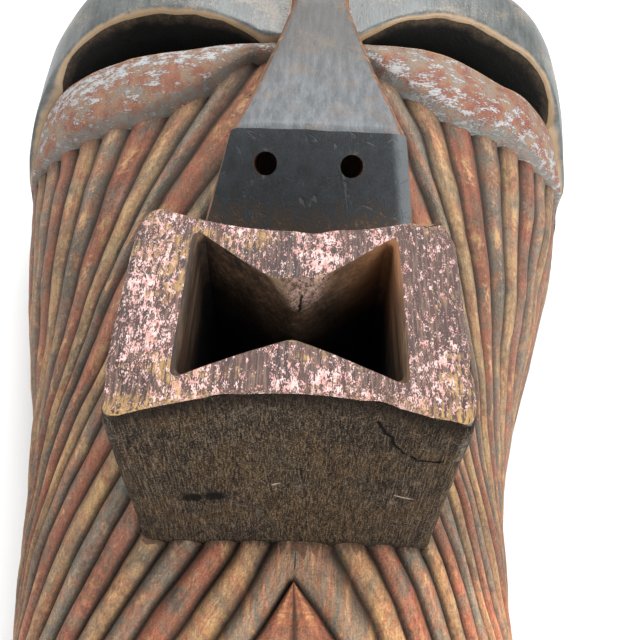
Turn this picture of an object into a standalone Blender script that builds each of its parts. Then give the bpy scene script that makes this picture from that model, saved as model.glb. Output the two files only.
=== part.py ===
# Kifwebe mask: a hollow face mask carved from one block of wood.
# It lies on its rim with the face up. Metres; +Y runs from chin to crown, +Z out of the face.
# The carving is worked out on a smooth arched face: a place on it is (side, u, y), where side is
# -1 or +1, u runs from 0 on the middle line to 1 on the rim, and y is the place along the mask.

import math

import bmesh
import bpy
from mathutils import Matrix, Vector

# Face and hollow
MASK_LENGTH = 0.446
BROW_HEIGHT = 0.117
CHIN_HEIGHT = 0.084
CHIN_ROUNDING = 0.018
CHIN_NARROWING = 0.16
WALL = 0.015
TEMPLE_Y = 0.155 * MASK_LENGTH
BROW_Y = 0.265 * MASK_LENGTH
TOP_Y = 0.5 * MASK_LENGTH
CHIN_Y = CHIN_ROUNDING - 0.5 * MASK_LENGTH
SECTION_SHOULDER = 0.76  # how far the arch of the face stays level before it turns down
SECTION_SIDE = 0.68  # how far up the side wall stays upright
RIM_START = 0.9  # where the plain border along the rim begins, as u

# Half widths left and right of the nose and mouth, at places along the mask, as shares of its length
OUTLINE = (
    (-0.50, 0.192, 0.164),
    (-0.43, 0.201, 0.165),
    (-0.35, 0.210, 0.166),
    (-0.27, 0.220, 0.172),
    (-0.19, 0.234, 0.191),
    (-0.10, 0.256, 0.223),
    (-0.01, 0.275, 0.252),
    (0.08, 0.284, 0.270),
    (0.155, 0.284, 0.275),
    (0.25, 0.283, 0.274),
)

# Carved ridges, counted from the eye's outer corner inwards and then down the middle to the chin
EYE_RIDGES = 12
CHIN_RIDGES = 23
FOREHEAD_RIDGES = 19
LEFT_CORNER_RIDGE = 14  # the ridge that runs into the corner of the chin
RIGHT_CORNER_RIDGE = 12
LEFT_CHIN_FIELD = 0.14  # half of the plain wedge at the middle of the chin, as u
RIGHT_CHIN_FIELD = 0.20
GROOVE_DEPTH = 0.0026
CHEEK_ROWS = 13
FOREHEAD_ROWS = 8
CHIN_POINT_Y = -0.1565
CHIN_FIELD_Y = -0.1645  # where the wedge begins
CROWN_GAP = 0.006

# Eyes
EYE_CORNER_Y = 0.022
EYE_FOOT_Y = 0.0025
EYE_FOOT_RISE = 0.0255  # how much higher the cheek band's edge is at the nose
EYE_FOOT_LOW = 0.33  # where that edge is lowest, as u
EYE_SLIT_Y = 0.035
EYE_SLIT_DROP = 0.0068
EYE_SLIT_START = 0.07
EYE_SLIT_END = 0.505
EYE_BAND_END = 0.68  # beyond it the lid meets the cheek
EYE_SLANT = 0.0012  # the left eye sits lower and is narrower than the right
EYE_GAP = 0.0185
EYE_TOP_Y = 0.100
CHEEK_STEP = 0.0045
CHEEK_BULGE = 0.0075
LID_RISE = 0.0115
LID_FADE_END = 0.8
LID_EDGE = 0.0035
BAND_LEAST = 0.0015
SLIT_POCKET = 0.04  # deeper than the wall, so that the hollow breaks through into the slit

# Nose and crest
NOSE_SHIFT = 0.003
NOSE_TIP_Y = -0.042
NOSE_TIP_HEIGHT = 0.139
NOSE_HALF_WIDTH = 0.0275
NOSE_LEFT_FLARE = 0.021
NOSE_RIGHT_FLARE = 0.010
NOSE_UNDERSIDE = 0.036  # how far the slanting underside runs back towards the mouth
NOSE_FOOT_RUN = 0.01
NOSE_SAG = 0.002
NOSE_CROWN = 0.0006
NOSE_EDGE_DROP = 0.0015
NOSE_EDGE_INSET = 0.002
BRIDGE_Y = 0.046
BRIDGE_HEIGHT = 0.125
BRIDGE_HALF_WIDTH = 0.0115
CREST_RISE = 0.014
CREST_HALF_WIDTH = 0.0085
CREST_GAP = 0.018  # between the crest's end and the crown
CREST_END_Y = TOP_Y - CREST_GAP
NOSTRIL_RADIUS = 0.0034
NOSTRIL_SPACING = 0.0268
NOSTRIL_DROP = 0.012
NOSTRIL_DEPTH = 0.022

# Mouth
MOUTH_SHIFT = -0.0027
MOUTH_WIDTH = 0.0804
MOUTH_FLARE = 0.015  # wider at the bottom than in the middle, as a share
MOUTH_TOP_Y = -0.0925
MOUTH_BOTTOM_Y = -0.1535
MOUTH_FRONT = 0.1546
MOUTH_CORNER = 0.0035
MOUTH_TOP_DIP = 0.0067
MOUTH_BOTTOM_RISE = 0.0074
MOUTH_FOOT_DROP = 0.0022  # the underside is full where it meets the chin
OPENING_WIDTH = 0.0482
OPENING_CORNER = 0.0015
UPPER_LIP = 0.0102
LOWER_LIP = 0.0115
UPPER_NOTCH = 0.0159
LOWER_NOTCH = 0.0102
LIP_ROUNDING = 0.0015

# How far cutters reach past what they cut, and the least distance between faces
CUTTER_REACH = 0.02
CUTTER_GAP = 0.0005
SLOPE_STEP = 0.002


def ease(share):
    """Smooth step from 0 to 1."""
    share = min(1.0, max(0.0, share))
    return share * share * (3.0 - 2.0 * share)


def mix(a, b, share):
    return a + (b - a) * share


def crown_fall(y, start, inset):
    """How an outline closes over the crown, from 1 at start to 0 at the top end."""
    if y <= start:
        return 1.0
    share = min(1.0, (y - start) / (TOP_Y - inset - start))
    return math.sqrt(max(0.0, 1.0 - share * share))


def half_width(side, y, inset=0.0):
    """Distance from the middle line to the rim on one side, smooth between the outline's places."""
    column = 1 if side < 0 else 2
    at = y / MASK_LENGTH
    i = 0
    while i < len(OUTLINE) - 2 and at > OUTLINE[i + 1][0]:
        i += 1
    near, far = OUTLINE[i], OUTLINE[i + 1]
    before, after = OUTLINE[max(i - 1, 0)], OUTLINE[min(i + 2, len(OUTLINE) - 1)]
    span = far[0] - near[0]
    start_slope = (far[column] - before[column]) / (far[0] - before[0]) * span
    end_slope = (after[column] - near[column]) / (after[0] - near[0]) * span
    t = min(1.0, max(0.0, (at - near[0]) / span))
    a, b = near[column], far[column]
    width = a + t * start_slope + t * t * (3.0 * (b - a) - 2.0 * start_slope - end_slope)
    width += t**3 * (2.0 * (a - b) + start_slope + end_slope)
    return (width * MASK_LENGTH - inset) * crown_fall(y, TEMPLE_Y, inset)


def face_height(y, inset=0.0):
    """Height of the middle line above the rim."""
    along = min(1.0, (y - CHIN_Y) / (BROW_Y - CHIN_Y))
    height = mix(CHIN_HEIGHT, BROW_HEIGHT, 1.2 * along - 0.2 * along**6)
    return (height - inset) * crown_fall(y, BROW_Y, inset)


def arch(u):
    """The cross section of the face as shares of its half width and height."""
    v = 1.0 - u
    across = 3.0 * v * v * u * SECTION_SHOULDER + 3.0 * v * u * u + u**3
    up = v**3 + 3.0 * v * v * u + 3.0 * v * u * u * SECTION_SIDE
    return across, up


def face(side, u, y, inset=0.0):
    """A point on the smooth face. Below the chin line the face rounds down to the rim."""
    narrowing, lowering = 1.0, 1.0
    if y < CHIN_Y + inset:
        share = min(1.0, (CHIN_Y + inset - y) / CHIN_ROUNDING)
        narrowing = 1.0 - CHIN_NARROWING * share**3
        lowering = (1.0 - share**2.2) ** (1.0 / 2.2)
    across, up = arch(u)
    at = max(y, CHIN_Y)
    x = side * half_width(side, at, inset) * across * narrowing
    return Vector((x, y, face_height(at, inset) * up * lowering))


def normal(side, u, y):
    """Outward direction of the smooth face."""
    low_y, high_y = max(y - SLOPE_STEP, CHIN_Y), min(y + SLOPE_STEP, TOP_Y - CUTTER_GAP)
    low_u, high_u = max(u - 0.01, 0.0), min(u + 0.01, 1.0)
    along = face(side, u, high_y) - face(side, u, low_y)
    across = face(side, high_u, y) - face(side, low_u, y)
    out = across.cross(along) * side
    if u == 0.0:
        out.x = 0.0
    return out.normalized() if out.length > 0.0 else Vector((0.0, 0.0, 1.0))


def carved(side, u, y, rise):
    """A point on the face, raised or sunk by rise."""
    return face(side, u, y) + normal(side, u, y) * rise


def add_grid(bm, rows):
    """Faces between rows of points. Points that coincide are merged later."""
    made = [[bm.verts.new(point) for point in row] for row in rows]
    for upper, lower in zip(made, made[1:]):
        for a, b, c, d in zip(upper, upper[1:], lower[1:], lower):
            bm.faces.new((a, b, c, d))


# Ridges. Line k runs in (u, y) from its start to its end on the rim border or the chin line.


def eye_foot(side, u):
    """Lower edge of the eye's cheek band."""
    slant = side * EYE_SLANT * min(1.0, u / 0.15) * min(1.0, (RIM_START - u) / 0.2)
    if u < EYE_FOOT_LOW:
        share = (EYE_FOOT_LOW - u) / EYE_FOOT_LOW
        return EYE_FOOT_Y + slant + EYE_FOOT_RISE * min(1.0, (share * 1.35) ** 2.5)
    share = (u - EYE_FOOT_LOW) / (RIM_START - EYE_FOOT_LOW)
    return EYE_FOOT_Y + slant + (EYE_CORNER_Y - EYE_FOOT_Y) * share**2


def eye_top(u):
    """Upper edge of the lid, where the forehead begins."""
    return mix(EYE_CORNER_Y, EYE_TOP_Y, math.sqrt(max(0.0, 1.0 - (u / RIM_START) ** 3)))


def eye_column(k):
    """u of ridge line k along the eye, from the outer corner to the middle line."""
    return RIM_START * (1.0 - k / EYE_RIDGES)


def corner_ridge(side):
    return LEFT_CORNER_RIDGE if side < 0 else RIGHT_CORNER_RIDGE


def cheek_start(side, k):
    if k <= EYE_RIDGES:
        u = eye_column(k)
        return u, eye_foot(side, u)
    share = min(1.0, (k - EYE_RIDGES) / (CHIN_RIDGES - EYE_RIDGES))
    y = mix(eye_foot(side, 0.0), CHIN_POINT_Y, share)
    return 0.0, mix(y, CHIN_FIELD_Y, min(1.0, max(0.0, k + 1.0 - CHIN_RIDGES)))


def cheek_end(side, k):
    corner = corner_ridge(side)
    if k <= corner:
        return RIM_START, mix(EYE_CORNER_Y, CHIN_Y, (k / corner) ** (1.0 / 3.0))
    field = LEFT_CHIN_FIELD if side < 0 else RIGHT_CHIN_FIELD
    if k <= CHIN_RIDGES:
        return mix(RIM_START, field, (k - corner) / (CHIN_RIDGES - corner)), CHIN_Y
    return field * (CHIN_RIDGES + 1.0 - k), CHIN_Y


def forehead_start(side, k):
    if k <= EYE_RIDGES:
        u = eye_column(k)
        return u, eye_top(u)
    share = (k - EYE_RIDGES) / (FOREHEAD_RIDGES - EYE_RIDGES)
    return 0.0, mix(EYE_TOP_Y, CREST_END_Y, share)


def forehead_end(side, k):
    share = math.sin(math.pi / 2.0 * k / FOREHEAD_RIDGES)
    return RIM_START, mix(EYE_CORNER_Y, TOP_Y - CROWN_GAP, share)


def ridge_point(start, end, t, bend=0.35):
    """A point along a ridge line: steep at first, then sweeping out to its end."""
    bend_u = mix(start[0], end[0], bend)
    bend_y = mix(start[1], end[1], 1.0 - bend)
    a, b, c = (1.0 - t) ** 2, 2.0 * t * (1.0 - t), t * t
    return a * start[0] + b * bend_u + c * end[0], a * start[1] + b * bend_y + c * end[1]


def ridge_bend(side, k):
    """The right jaw's ridges and the wedge of the chin run straighter than the others."""
    share = ease((k - EYE_RIDGES) / (CHIN_RIDGES - EYE_RIDGES) * 1.6)
    return mix(0.35, 0.5, share if side > 0 else min(1.0, max(0.0, k + 1.0 - CHIN_RIDGES)))


def forehead_bend(k):
    """The lines beside the eye's outer corner bow outwards, clear of the lid."""
    return mix(0.65, 0.35, min(1.0, k / 5.0))


def cheek(side):
    """The ridges of one cheek: crests on the face, valleys between them."""
    count = CHIN_RIDGES + 1
    rows = []
    for i in range(CHEEK_ROWS + 1):
        t = i / CHEEK_ROWS
        fade = min(1.0, (1.0 - t) * CHEEK_ROWS / 1.5)
        row = []
        for j in range(2 * count + 1):
            k = j / 2.0
            u, y = ridge_point(cheek_start(side, k), cheek_end(side, k), t, ridge_bend(side, k))
            valley = j % 2 == 0 and 0 < j < 2 * count
            row.append(carved(side, u, y, -GROOVE_DEPTH * fade if valley else 0.0))
        rows.append(row)
    return rows


def forehead(side):
    """The plainer ridges of the forehead, which fade out at both ends."""
    rows = []
    for i in range(FOREHEAD_ROWS + 1):
        t = i / FOREHEAD_ROWS
        fade = min(1.0, (1.0 - t) * FOREHEAD_ROWS, t * FOREHEAD_ROWS)
        row = []
        for j in range(2 * FOREHEAD_RIDGES + 1):
            k = j / 2.0
            u, y = ridge_point(forehead_start(side, k), forehead_end(side, k), t, forehead_bend(k))
            valley = j % 2 == 0 and 0 < j < 2 * FOREHEAD_RIDGES
            row.append(carved(side, u, y, -GROOVE_DEPTH * fade if valley else 0.0))
        rows.append(row)
    return rows


def rim_border(side, ends, count):
    """The plain border from the ends of the ridges down to the rim."""
    rows = []
    for u in (RIM_START, 0.95, 1.0):
        rows.append([face(side, u, ends(side, j / 2.0)[1]) for j in range(2 * count + 1)])
    return rows


def chin_end(side):
    """The rounded end below the chin line."""
    first = 2 * corner_ridge(side)
    across = [cheek_end(side, j / 2.0)[0] for j in range(first, 2 * CHIN_RIDGES + 3)]
    across = [1.0, 0.95] + across
    rows = []
    for step in range(5):
        y = CHIN_Y - CHIN_ROUNDING * math.sin(math.pi / 2.0 * step / 4.0)
        rows.append([face(side, u, y) for u in across])
    return rows


def crown_end(side):
    """The small smooth patch between the last forehead ridge and the crown."""
    start, end = forehead_start(side, FOREHEAD_RIDGES), forehead_end(side, FOREHEAD_RIDGES)
    line = [ridge_point(start, end, i / FOREHEAD_ROWS) for i in range(FOREHEAD_ROWS + 1)]
    line += [(0.95, end[1]), (1.0, end[1])]
    rows = []
    for share in (0.0, 0.4, 0.75, 1.0):
        rows.append([face(side, u, mix(y, TOP_Y, share)) for u, y in line])
    return rows


# Eyes


def slit_end(side):
    return EYE_SLIT_END * (1.0 + 0.04 * side)


def slit_opening(side, u):
    """How far the eye slit is open, from 0 at its corners to 1 at its widest."""
    along = (u - EYE_SLIT_START) / (slit_end(side) - EYE_SLIT_START)
    if along < 0.01 or along > 0.99:
        return 0.0
    return math.sin(math.pi * along**1.1) ** 0.7


def slit_line(side, u):
    """Lower edge of the eye slit, which turns down to the cheek beyond the slit's outer end."""
    foot = eye_foot(side, u)
    wave = math.sin(math.pi * min(1.0, u / 0.35))
    low = EYE_SLIT_Y + side * 2.0 * EYE_SLANT * wave - EYE_SLIT_DROP * u / EYE_SLIT_END
    low = mix(low, foot, ease((u - slit_end(side)) / (EYE_BAND_END - slit_end(side))))
    return max(low, foot + BAND_LEAST * min(1.0, (RIM_START - u) / 0.1))


def eye(side):
    """The cheek band, the slit as a deep pocket and the hooding lid, row by row upwards."""
    rows = [[] for _ in range(11)]
    for j in range(2 * EYE_RIDGES + 1):
        u = eye_column(j / 2.0)
        foot, low, top = eye_foot(side, u), slit_line(side, u), eye_top(u)
        gap = slit_opening(side, u)
        high = low + EYE_GAP * gap
        fullness = ease((LID_FADE_END - u) / 0.42) * mix(0.45, 1.0, ease(u / 0.2))
        band = CHEEK_BULGE * fullness
        lid = LID_RISE * fullness
        lower_lip = carved(side, u, low, band * 0.8)
        upper_lip = carved(side, u, high, mix(band * 0.8, lid, min(1.0, gap * 2.0)))
        inward = normal(side, u, mix(low, high, 0.5)) * (SLIT_POCKET if gap > 0.0 else 0.0)
        valley = j % 2 == 0 and j > 0
        rows[0].append(carved(side, u, foot, -GROOVE_DEPTH if valley else 0.0))
        rows[1].append(carved(side, u, mix(foot, low, 0.07), CHEEK_STEP * fullness))
        rows[2].append(carved(side, u, mix(foot, low, 0.5), band))
        rows[3].append(lower_lip)
        rows[4].append(lower_lip - inward)
        rows[5].append(upper_lip - inward * 1.3)
        rows[6].append(upper_lip)
        rows[7].append(carved(side, u, high + LID_EDGE * fullness, lid * 1.12))
        rows[8].append(carved(side, u, mix(high, top, 0.5), lid * 1.1))
        rows[9].append(carved(side, u, mix(high, top, 0.85), lid * 0.55))
        rows[10].append(carved(side, u, top, 0.0))
    return rows


# Solids


def new_object(name, bm):
    mesh = bpy.data.meshes.new(name)
    bm.to_mesh(mesh)
    bm.free()
    obj = bpy.data.objects.new(name, mesh)
    bpy.context.scene.collection.objects.link(obj)
    return obj


def close_up(bm):
    """Merges coincident points, closes the flat opening on the rim plane and turns the faces out."""
    bmesh.ops.remove_doubles(bm, verts=bm.verts, dist=0.00002)
    bmesh.ops.dissolve_degenerate(bm, edges=bm.edges, dist=0.00002)
    rim = [edge for edge in bm.edges if edge.is_boundary]
    if rim:
        bmesh.ops.holes_fill(bm, edges=rim, sides=0)
    bmesh.ops.recalc_face_normals(bm, faces=bm.faces)
    if bm.calc_volume(signed=True) < 0.0:
        bmesh.ops.reverse_faces(bm, faces=bm.faces)


def make_tube(name, rings, ring_shaped=False):
    """A solid between rings of points. Unless it is ring shaped, both ends are capped."""
    bm = bmesh.new()
    made = [[bm.verts.new(point) for point in ring] for ring in rings]
    if ring_shaped:
        made.append(made[0])
    for upper, lower in zip(made, made[1:]):
        for i in range(len(upper)):
            bm.faces.new((upper[i - 1], upper[i], lower[i], lower[i - 1]))
    if not ring_shaped:
        bm.faces.new(made[0])
        bm.faces.new(made[-1])
    close_up(bm)
    return new_object(name, bm)


def make_block():
    """The carved outside of the mask as a solid block standing on the rim plane."""
    bm = bmesh.new()
    for side in (-1, 1):
        add_grid(bm, cheek(side))
        add_grid(bm, eye(side))
        add_grid(bm, forehead(side))
        add_grid(bm, rim_border(side, cheek_end, corner_ridge(side)))
        add_grid(bm, rim_border(side, forehead_end, FOREHEAD_RIDGES))
        add_grid(bm, chin_end(side))
        add_grid(bm, crown_end(side))
    close_up(bm)
    return new_object("kifwebe_mask", bm)


def make_hollow():
    """The hollow for the wearer's face, a wall's thickness inside the outside."""
    low_y, high_y = CHIN_Y - CHIN_ROUNDING + WALL + CUTTER_GAP, TOP_Y - WALL - CUTTER_GAP
    rings = []
    for i in range(19):
        y = mix(low_y, high_y, 0.5 - 0.5 * math.cos(math.pi * i / 18.0))
        arc = [face(-1, 1.0 - j / 8.0, y, WALL) for j in range(8)]
        arc += [face(1, j / 8.0, y, WALL) for j in range(9)]
        arc[0].z -= CUTTER_REACH
        arc[-1].z -= CUTTER_REACH
        rings.append(arc)
    return make_tube("hollow_cutter", rings)


def mouth_outline(half, low, high, corner, dip, rise, pointed):
    """A closed hourglass outline, anticlockwise from the lower left corner.
    pointed gives straight notches that meet in a point; otherwise the edges are arcs."""

    def bend(x, amount):
        share = abs(x) / (half - corner)
        return amount * (1.0 - share**1.15 if pointed else 1.0 - share * share)

    span = half - corner
    steps = 8
    line = [span * (2.0 * i / steps - 1.0) for i in range(steps + 1)]
    bottom = [Vector((x, low + bend(x, rise), 0.0)) for x in line]
    top = [Vector((-x, high - bend(x, dip), 0.0)) for x in line]
    right = [Vector((half, mix(low + corner, high - corner, i / 4.0), 0.0)) for i in range(5)]
    left = [Vector((-point.x, low + high - point.y, 0.0)) for point in right]
    around = bottom + right + top + left
    for point in around:
        point.x *= 1.0 + MOUTH_FLARE * (low + high - 2.0 * point.y) / (high - low)
    return around


def make_mouth():
    """The box mouth: an hourglass tube whose bore goes right through the face."""
    centre = Vector((0.0, (MOUTH_TOP_Y + MOUTH_BOTTOM_Y) / 2.0, 0.0))
    half = MOUTH_WIDTH / 2.0
    bottom, top, corner = MOUTH_BOTTOM_Y, MOUTH_TOP_Y, MOUTH_CORNER
    outer = mouth_outline(half, bottom, top, corner, MOUTH_TOP_DIP, MOUTH_BOTTOM_RISE, False)
    root = mouth_outline(half, bottom, top, corner, MOUTH_TOP_DIP, -MOUTH_FOOT_DROP, False)
    low, high = MOUTH_BOTTOM_Y + LOWER_LIP, MOUTH_TOP_Y - UPPER_LIP
    inner = mouth_outline(OPENING_WIDTH / 2.0, low, high, OPENING_CORNER, UPPER_NOTCH, LOWER_NOTCH, True)
    shrink = 1.0 - 2.0 * LIP_ROUNDING / MOUTH_WIDTH
    widen = 1.0 + 2.0 * LIP_ROUNDING / OPENING_WIDTH

    def level(outline, factor, height):
        raised = Vector((MOUTH_SHIFT, 0.0, height))
        return [centre + (point - centre) * factor + raised for point in outline]

    foot = CHIN_HEIGHT - 3.0 * WALL
    middle = mix(CHIN_HEIGHT, MOUTH_FRONT, 0.45)
    rings = [
        level(root, 1.0, foot),
        level(root, 1.0, CHIN_HEIGHT - 0.1 * WALL),
        level(outer, 1.0, MOUTH_FRONT - LIP_ROUNDING),
        level(outer, shrink, MOUTH_FRONT),
        level(inner, widen, MOUTH_FRONT),
        level(inner, 1.0, MOUTH_FRONT - LIP_ROUNDING),
        level(inner, 1.0, middle),
        level(inner, 1.0, foot),
    ]
    return make_tube("mouth_tube", rings, ring_shaped=True)


def make_mouth_plug():
    """What is cut out of the face for the mouth: its sides lie inside the tube's walls."""
    outer = mouth_outline(
        (MOUTH_WIDTH / 2.0 + OPENING_WIDTH / 2.0) / 2.0,
        MOUTH_BOTTOM_Y + LOWER_LIP / 2.0,
        MOUTH_TOP_Y - UPPER_LIP / 2.0,
        MOUTH_CORNER,
        (MOUTH_TOP_DIP + UPPER_NOTCH) / 2.0,
        (MOUTH_BOTTOM_RISE + LOWER_NOTCH) / 2.0,
        False,
    )
    heights = (-CUTTER_REACH, MOUTH_FRONT - UPPER_LIP)
    rings = [[point + Vector((MOUTH_SHIFT, 0.0, height)) for point in outer] for height in heights]
    return make_tube("mouth_plug", rings)


def nose_station(y, height, half, flare, foot, foot_y, crown=NOSE_CROWN):
    """One cross section of the nose, from its left foot over the top to its right foot."""
    x = NOSE_SHIFT
    return [
        Vector((x - half - NOSE_LEFT_FLARE * flare, foot_y, foot)),
        Vector((x - half, y, height - NOSE_EDGE_DROP)),
        Vector((x - half + NOSE_EDGE_INSET, y, height)),
        Vector((x, y, height + crown)),
        Vector((x + half - NOSE_EDGE_INSET, y, height)),
        Vector((x + half, y, height - NOSE_EDGE_DROP)),
        Vector((x + half + NOSE_RIGHT_FLARE * flare, foot_y, foot)),
    ]


def make_nose():
    """The flat-topped nose, wide at its tip, with an underside that slants back to the mouth."""
    foot = CHIN_HEIGHT - 0.5 * WALL
    slope = NOSE_UNDERSIDE / (NOSE_TIP_HEIGHT - face_height(NOSE_TIP_Y - NOSE_UNDERSIDE))
    tip_foot_y = NOSE_TIP_Y - slope * (NOSE_TIP_HEIGHT - foot)
    rings = [nose_station(NOSE_TIP_Y, NOSE_TIP_HEIGHT, NOSE_HALF_WIDTH, 1.0, foot, tip_foot_y, 0.0)]
    for share in (0.02, 0.25, 0.5, 0.75, 1.0):
        y = mix(NOSE_TIP_Y, BRIDGE_Y, share)
        half = mix(NOSE_HALF_WIDTH, BRIDGE_HALF_WIDTH, share**0.95)
        height = mix(NOSE_TIP_HEIGHT, BRIDGE_HEIGHT, share) - NOSE_SAG * math.sin(math.pi * share)
        foot_y = mix(tip_foot_y + NOSE_FOOT_RUN, y, min(1.0, share * 3.0))
        rings.append(nose_station(y, height, half, mix(1.0, 0.35, share), foot, foot_y))
    for share in (0.5, 1.0):
        y = mix(BRIDGE_Y, EYE_TOP_Y, share)
        height = mix(BRIDGE_HEIGHT, face_height(EYE_TOP_Y) + CREST_RISE, share)
        half = mix(BRIDGE_HALF_WIDTH, CREST_HALF_WIDTH, share)
        rings.append(nose_station(y, height, half, mix(0.35, 0.15, share), foot, y))
    steps = 7
    for i in range(1, steps + 1):
        y = mix(EYE_TOP_Y, CREST_END_Y, i / steps)
        height = face_height(y) + CREST_RISE * (1.0 - ease((i - steps + 3.0) / 3.0) * 1.6)
        half = mix(CREST_HALF_WIDTH, CREST_HALF_WIDTH * 0.7, i / steps)
        rings.append(nose_station(y, height, half, 0.15, min(foot, face_height(y) - 2.0 * WALL), y))
    return make_tube("nose_block", rings)


def make_nostril(side):
    """A drilled nostril, square to the underside of the nose."""
    fall = NOSE_TIP_HEIGHT - face_height(NOSE_TIP_Y - NOSE_UNDERSIDE)
    down = Vector((0.0, -NOSE_UNDERSIDE, -fall)).normalized()
    out = Vector((0.0, down.z, -down.y))
    tip = Vector((0.0, NOSE_TIP_Y, NOSE_TIP_HEIGHT))
    centre = tip + down * NOSTRIL_DROP + Vector((side * NOSTRIL_SPACING / 2.0, 0.0, 0.0))
    bm = bmesh.new()
    bmesh.ops.create_cone(
        bm,
        cap_ends=True,
        segments=16,
        radius1=NOSTRIL_RADIUS,
        radius2=NOSTRIL_RADIUS,
        depth=2.0 * NOSTRIL_DEPTH,
    )
    bm.transform(out.to_track_quat("Z", "Y").to_matrix().to_4x4())
    bmesh.ops.translate(bm, verts=bm.verts, vec=centre)
    return new_object("nostril_drill", bm)


def combine(target, tool, operation, solver="EXACT"):
    """One Boolean step on the block. The tool stays in the scene as a hidden helper."""
    modifier = target.modifiers.new(tool.name, "BOOLEAN")
    modifier.operation = operation
    modifier.solver = solver
    modifier.object = tool
    tool.hide_render = True
    tool.display_type = "WIRE"


def wood_finish():
    """Dark painted wood, as seen on the plain parts."""
    material = bpy.data.materials.new("carved_wood")
    material.use_nodes = True
    shader = material.node_tree.nodes["Principled BSDF"]
    shader.inputs["Base Color"].default_value = (0.23, 0.16, 0.11, 1.0)
    shader.inputs["Roughness"].default_value = 0.6
    shader.inputs["Metallic"].default_value = 0.0
    return material


def centre_on_frame():
    """Moves everything sideways, so that the frame's origin is under the middle of the mask."""
    places = [vertex.co.x for vertex in bpy.data.objects["kifwebe_mask"].data.vertices]
    shift = Matrix.Translation((-(min(places) + max(places)) / 2.0, 0.0, 0.0))
    for obj in bpy.data.objects:
        obj.data.transform(shift)


def main():
    for obj in list(bpy.data.objects):
        bpy.data.objects.remove(obj)
    mask = make_block()
    combine(mask, make_mouth_plug(), "DIFFERENCE")
    combine(mask, make_nose(), "UNION")
    combine(mask, make_mouth(), "UNION")
    # On a longer mask EXACT leaves open edges where the hollow meets the slits' pockets.
    combine(mask, make_hollow(), "DIFFERENCE", "MANIFOLD")
    for side in (-1, 1):
        combine(mask, make_nostril(side), "DIFFERENCE")
    centre_on_frame()
    mask.data.materials.append(wood_finish())


main()
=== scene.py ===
import math

import bmesh
import bpy
from mathutils import Matrix, Vector, noise
from mathutils.bvhtree import BVHTree
from mathutils.kdtree import KDTree


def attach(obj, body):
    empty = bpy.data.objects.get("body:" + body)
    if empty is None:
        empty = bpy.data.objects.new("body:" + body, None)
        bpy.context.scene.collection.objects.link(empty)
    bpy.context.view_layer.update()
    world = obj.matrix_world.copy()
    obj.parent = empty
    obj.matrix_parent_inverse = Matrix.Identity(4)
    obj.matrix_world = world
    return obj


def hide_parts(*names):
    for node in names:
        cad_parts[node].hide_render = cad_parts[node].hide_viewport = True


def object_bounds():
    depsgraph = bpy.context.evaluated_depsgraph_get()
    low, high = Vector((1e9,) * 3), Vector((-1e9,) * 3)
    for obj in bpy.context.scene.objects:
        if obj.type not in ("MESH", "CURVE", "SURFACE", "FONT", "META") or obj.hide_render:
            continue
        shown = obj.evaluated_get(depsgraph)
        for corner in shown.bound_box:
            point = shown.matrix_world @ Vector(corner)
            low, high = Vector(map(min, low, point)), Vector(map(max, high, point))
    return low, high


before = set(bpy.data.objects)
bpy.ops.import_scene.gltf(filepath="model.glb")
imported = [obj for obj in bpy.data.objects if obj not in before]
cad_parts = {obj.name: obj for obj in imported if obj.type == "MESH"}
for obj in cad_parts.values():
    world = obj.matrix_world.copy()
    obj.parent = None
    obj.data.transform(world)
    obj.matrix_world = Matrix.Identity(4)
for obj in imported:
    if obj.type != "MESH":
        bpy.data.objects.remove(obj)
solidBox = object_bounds()
print("frame loaded")

# the vector noise takes its offsets from this seed, so that each run carves the same mask
noise.seed_set(11)

# The face that everything is carved on, metres. A place on it is side, u, y:
# u runs from 0 on the middle line to 1 on the rim, y from chin to crown.
face = {
    "length": 0.446,
    "browHeight": 0.117,
    "chinHeight": 0.084,
    "chinRounding": 0.018,
    "chinNarrowing": 0.16,
    "wall": 0.015,
    "shoulder": 0.76,
    "sideWall": 0.68,
    "rimStart": 0.9,
    "borderRows": 6,
    # places along the mask with the half widths left and right, as shares of its length
    "outline": (
        (-0.50, 0.192, 0.164),
        (-0.43, 0.201, 0.165),
        (-0.35, 0.210, 0.166),
        (-0.27, 0.220, 0.172),
        (-0.19, 0.234, 0.191),
        (-0.10, 0.256, 0.223),
        (-0.01, 0.275, 0.252),
        (0.08, 0.284, 0.270),
        (0.155, 0.284, 0.275),
        (0.25, 0.283, 0.274),
    ),
}
templeY = 0.155 * face["length"]
browY = 0.265 * face["length"]
topY = 0.5 * face["length"]
chinY = face["chinRounding"] - 0.5 * face["length"]
rimStart = face["rimStart"]
borderSteps = [rimStart + (1.0 - rimStart) * i / (face["borderRows"] - 1) for i in range(face["borderRows"])]


def clamp(share):
    return min(1.0, max(0.0, share))


def ease(share):
    share = clamp(share)
    return share * share * (3.0 - 2.0 * share)


def mix(a, b, share):
    return a + (b - a) * share


def crownFall(y, start, inset):
    if y <= start:
        return 1.0
    share = min(1.0, (y - start) / (topY - inset - start))
    return math.sqrt(max(0.0, 1.0 - share * share))


def curveThrough(table, at):
    # smooth curve through (place, value) pairs
    i = 0
    while i < len(table) - 2 and at > table[i + 1][0]:
        i += 1
    (near, low), (far, high) = table[i], table[i + 1]
    before, after = table[max(i - 1, 0)], table[min(i + 2, len(table) - 1)]
    span = far - near
    start = (high - before[1]) / (far - before[0]) * span
    end = (after[1] - low) / (after[0] - near) * span
    t = clamp((at - near) / span)
    curved = low + t * start + t * t * (3.0 * (high - low) - 2.0 * start - end)
    return curved + t**3 * (2.0 * (low - high) + start + end)


def halfWidth(side, y, inset=0.0):
    column = 1 if side < 0 else 2
    width = curveThrough([(row[0], row[column]) for row in face["outline"]], y / face["length"])
    return (width * face["length"] - inset) * crownFall(y, templeY, inset)


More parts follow.
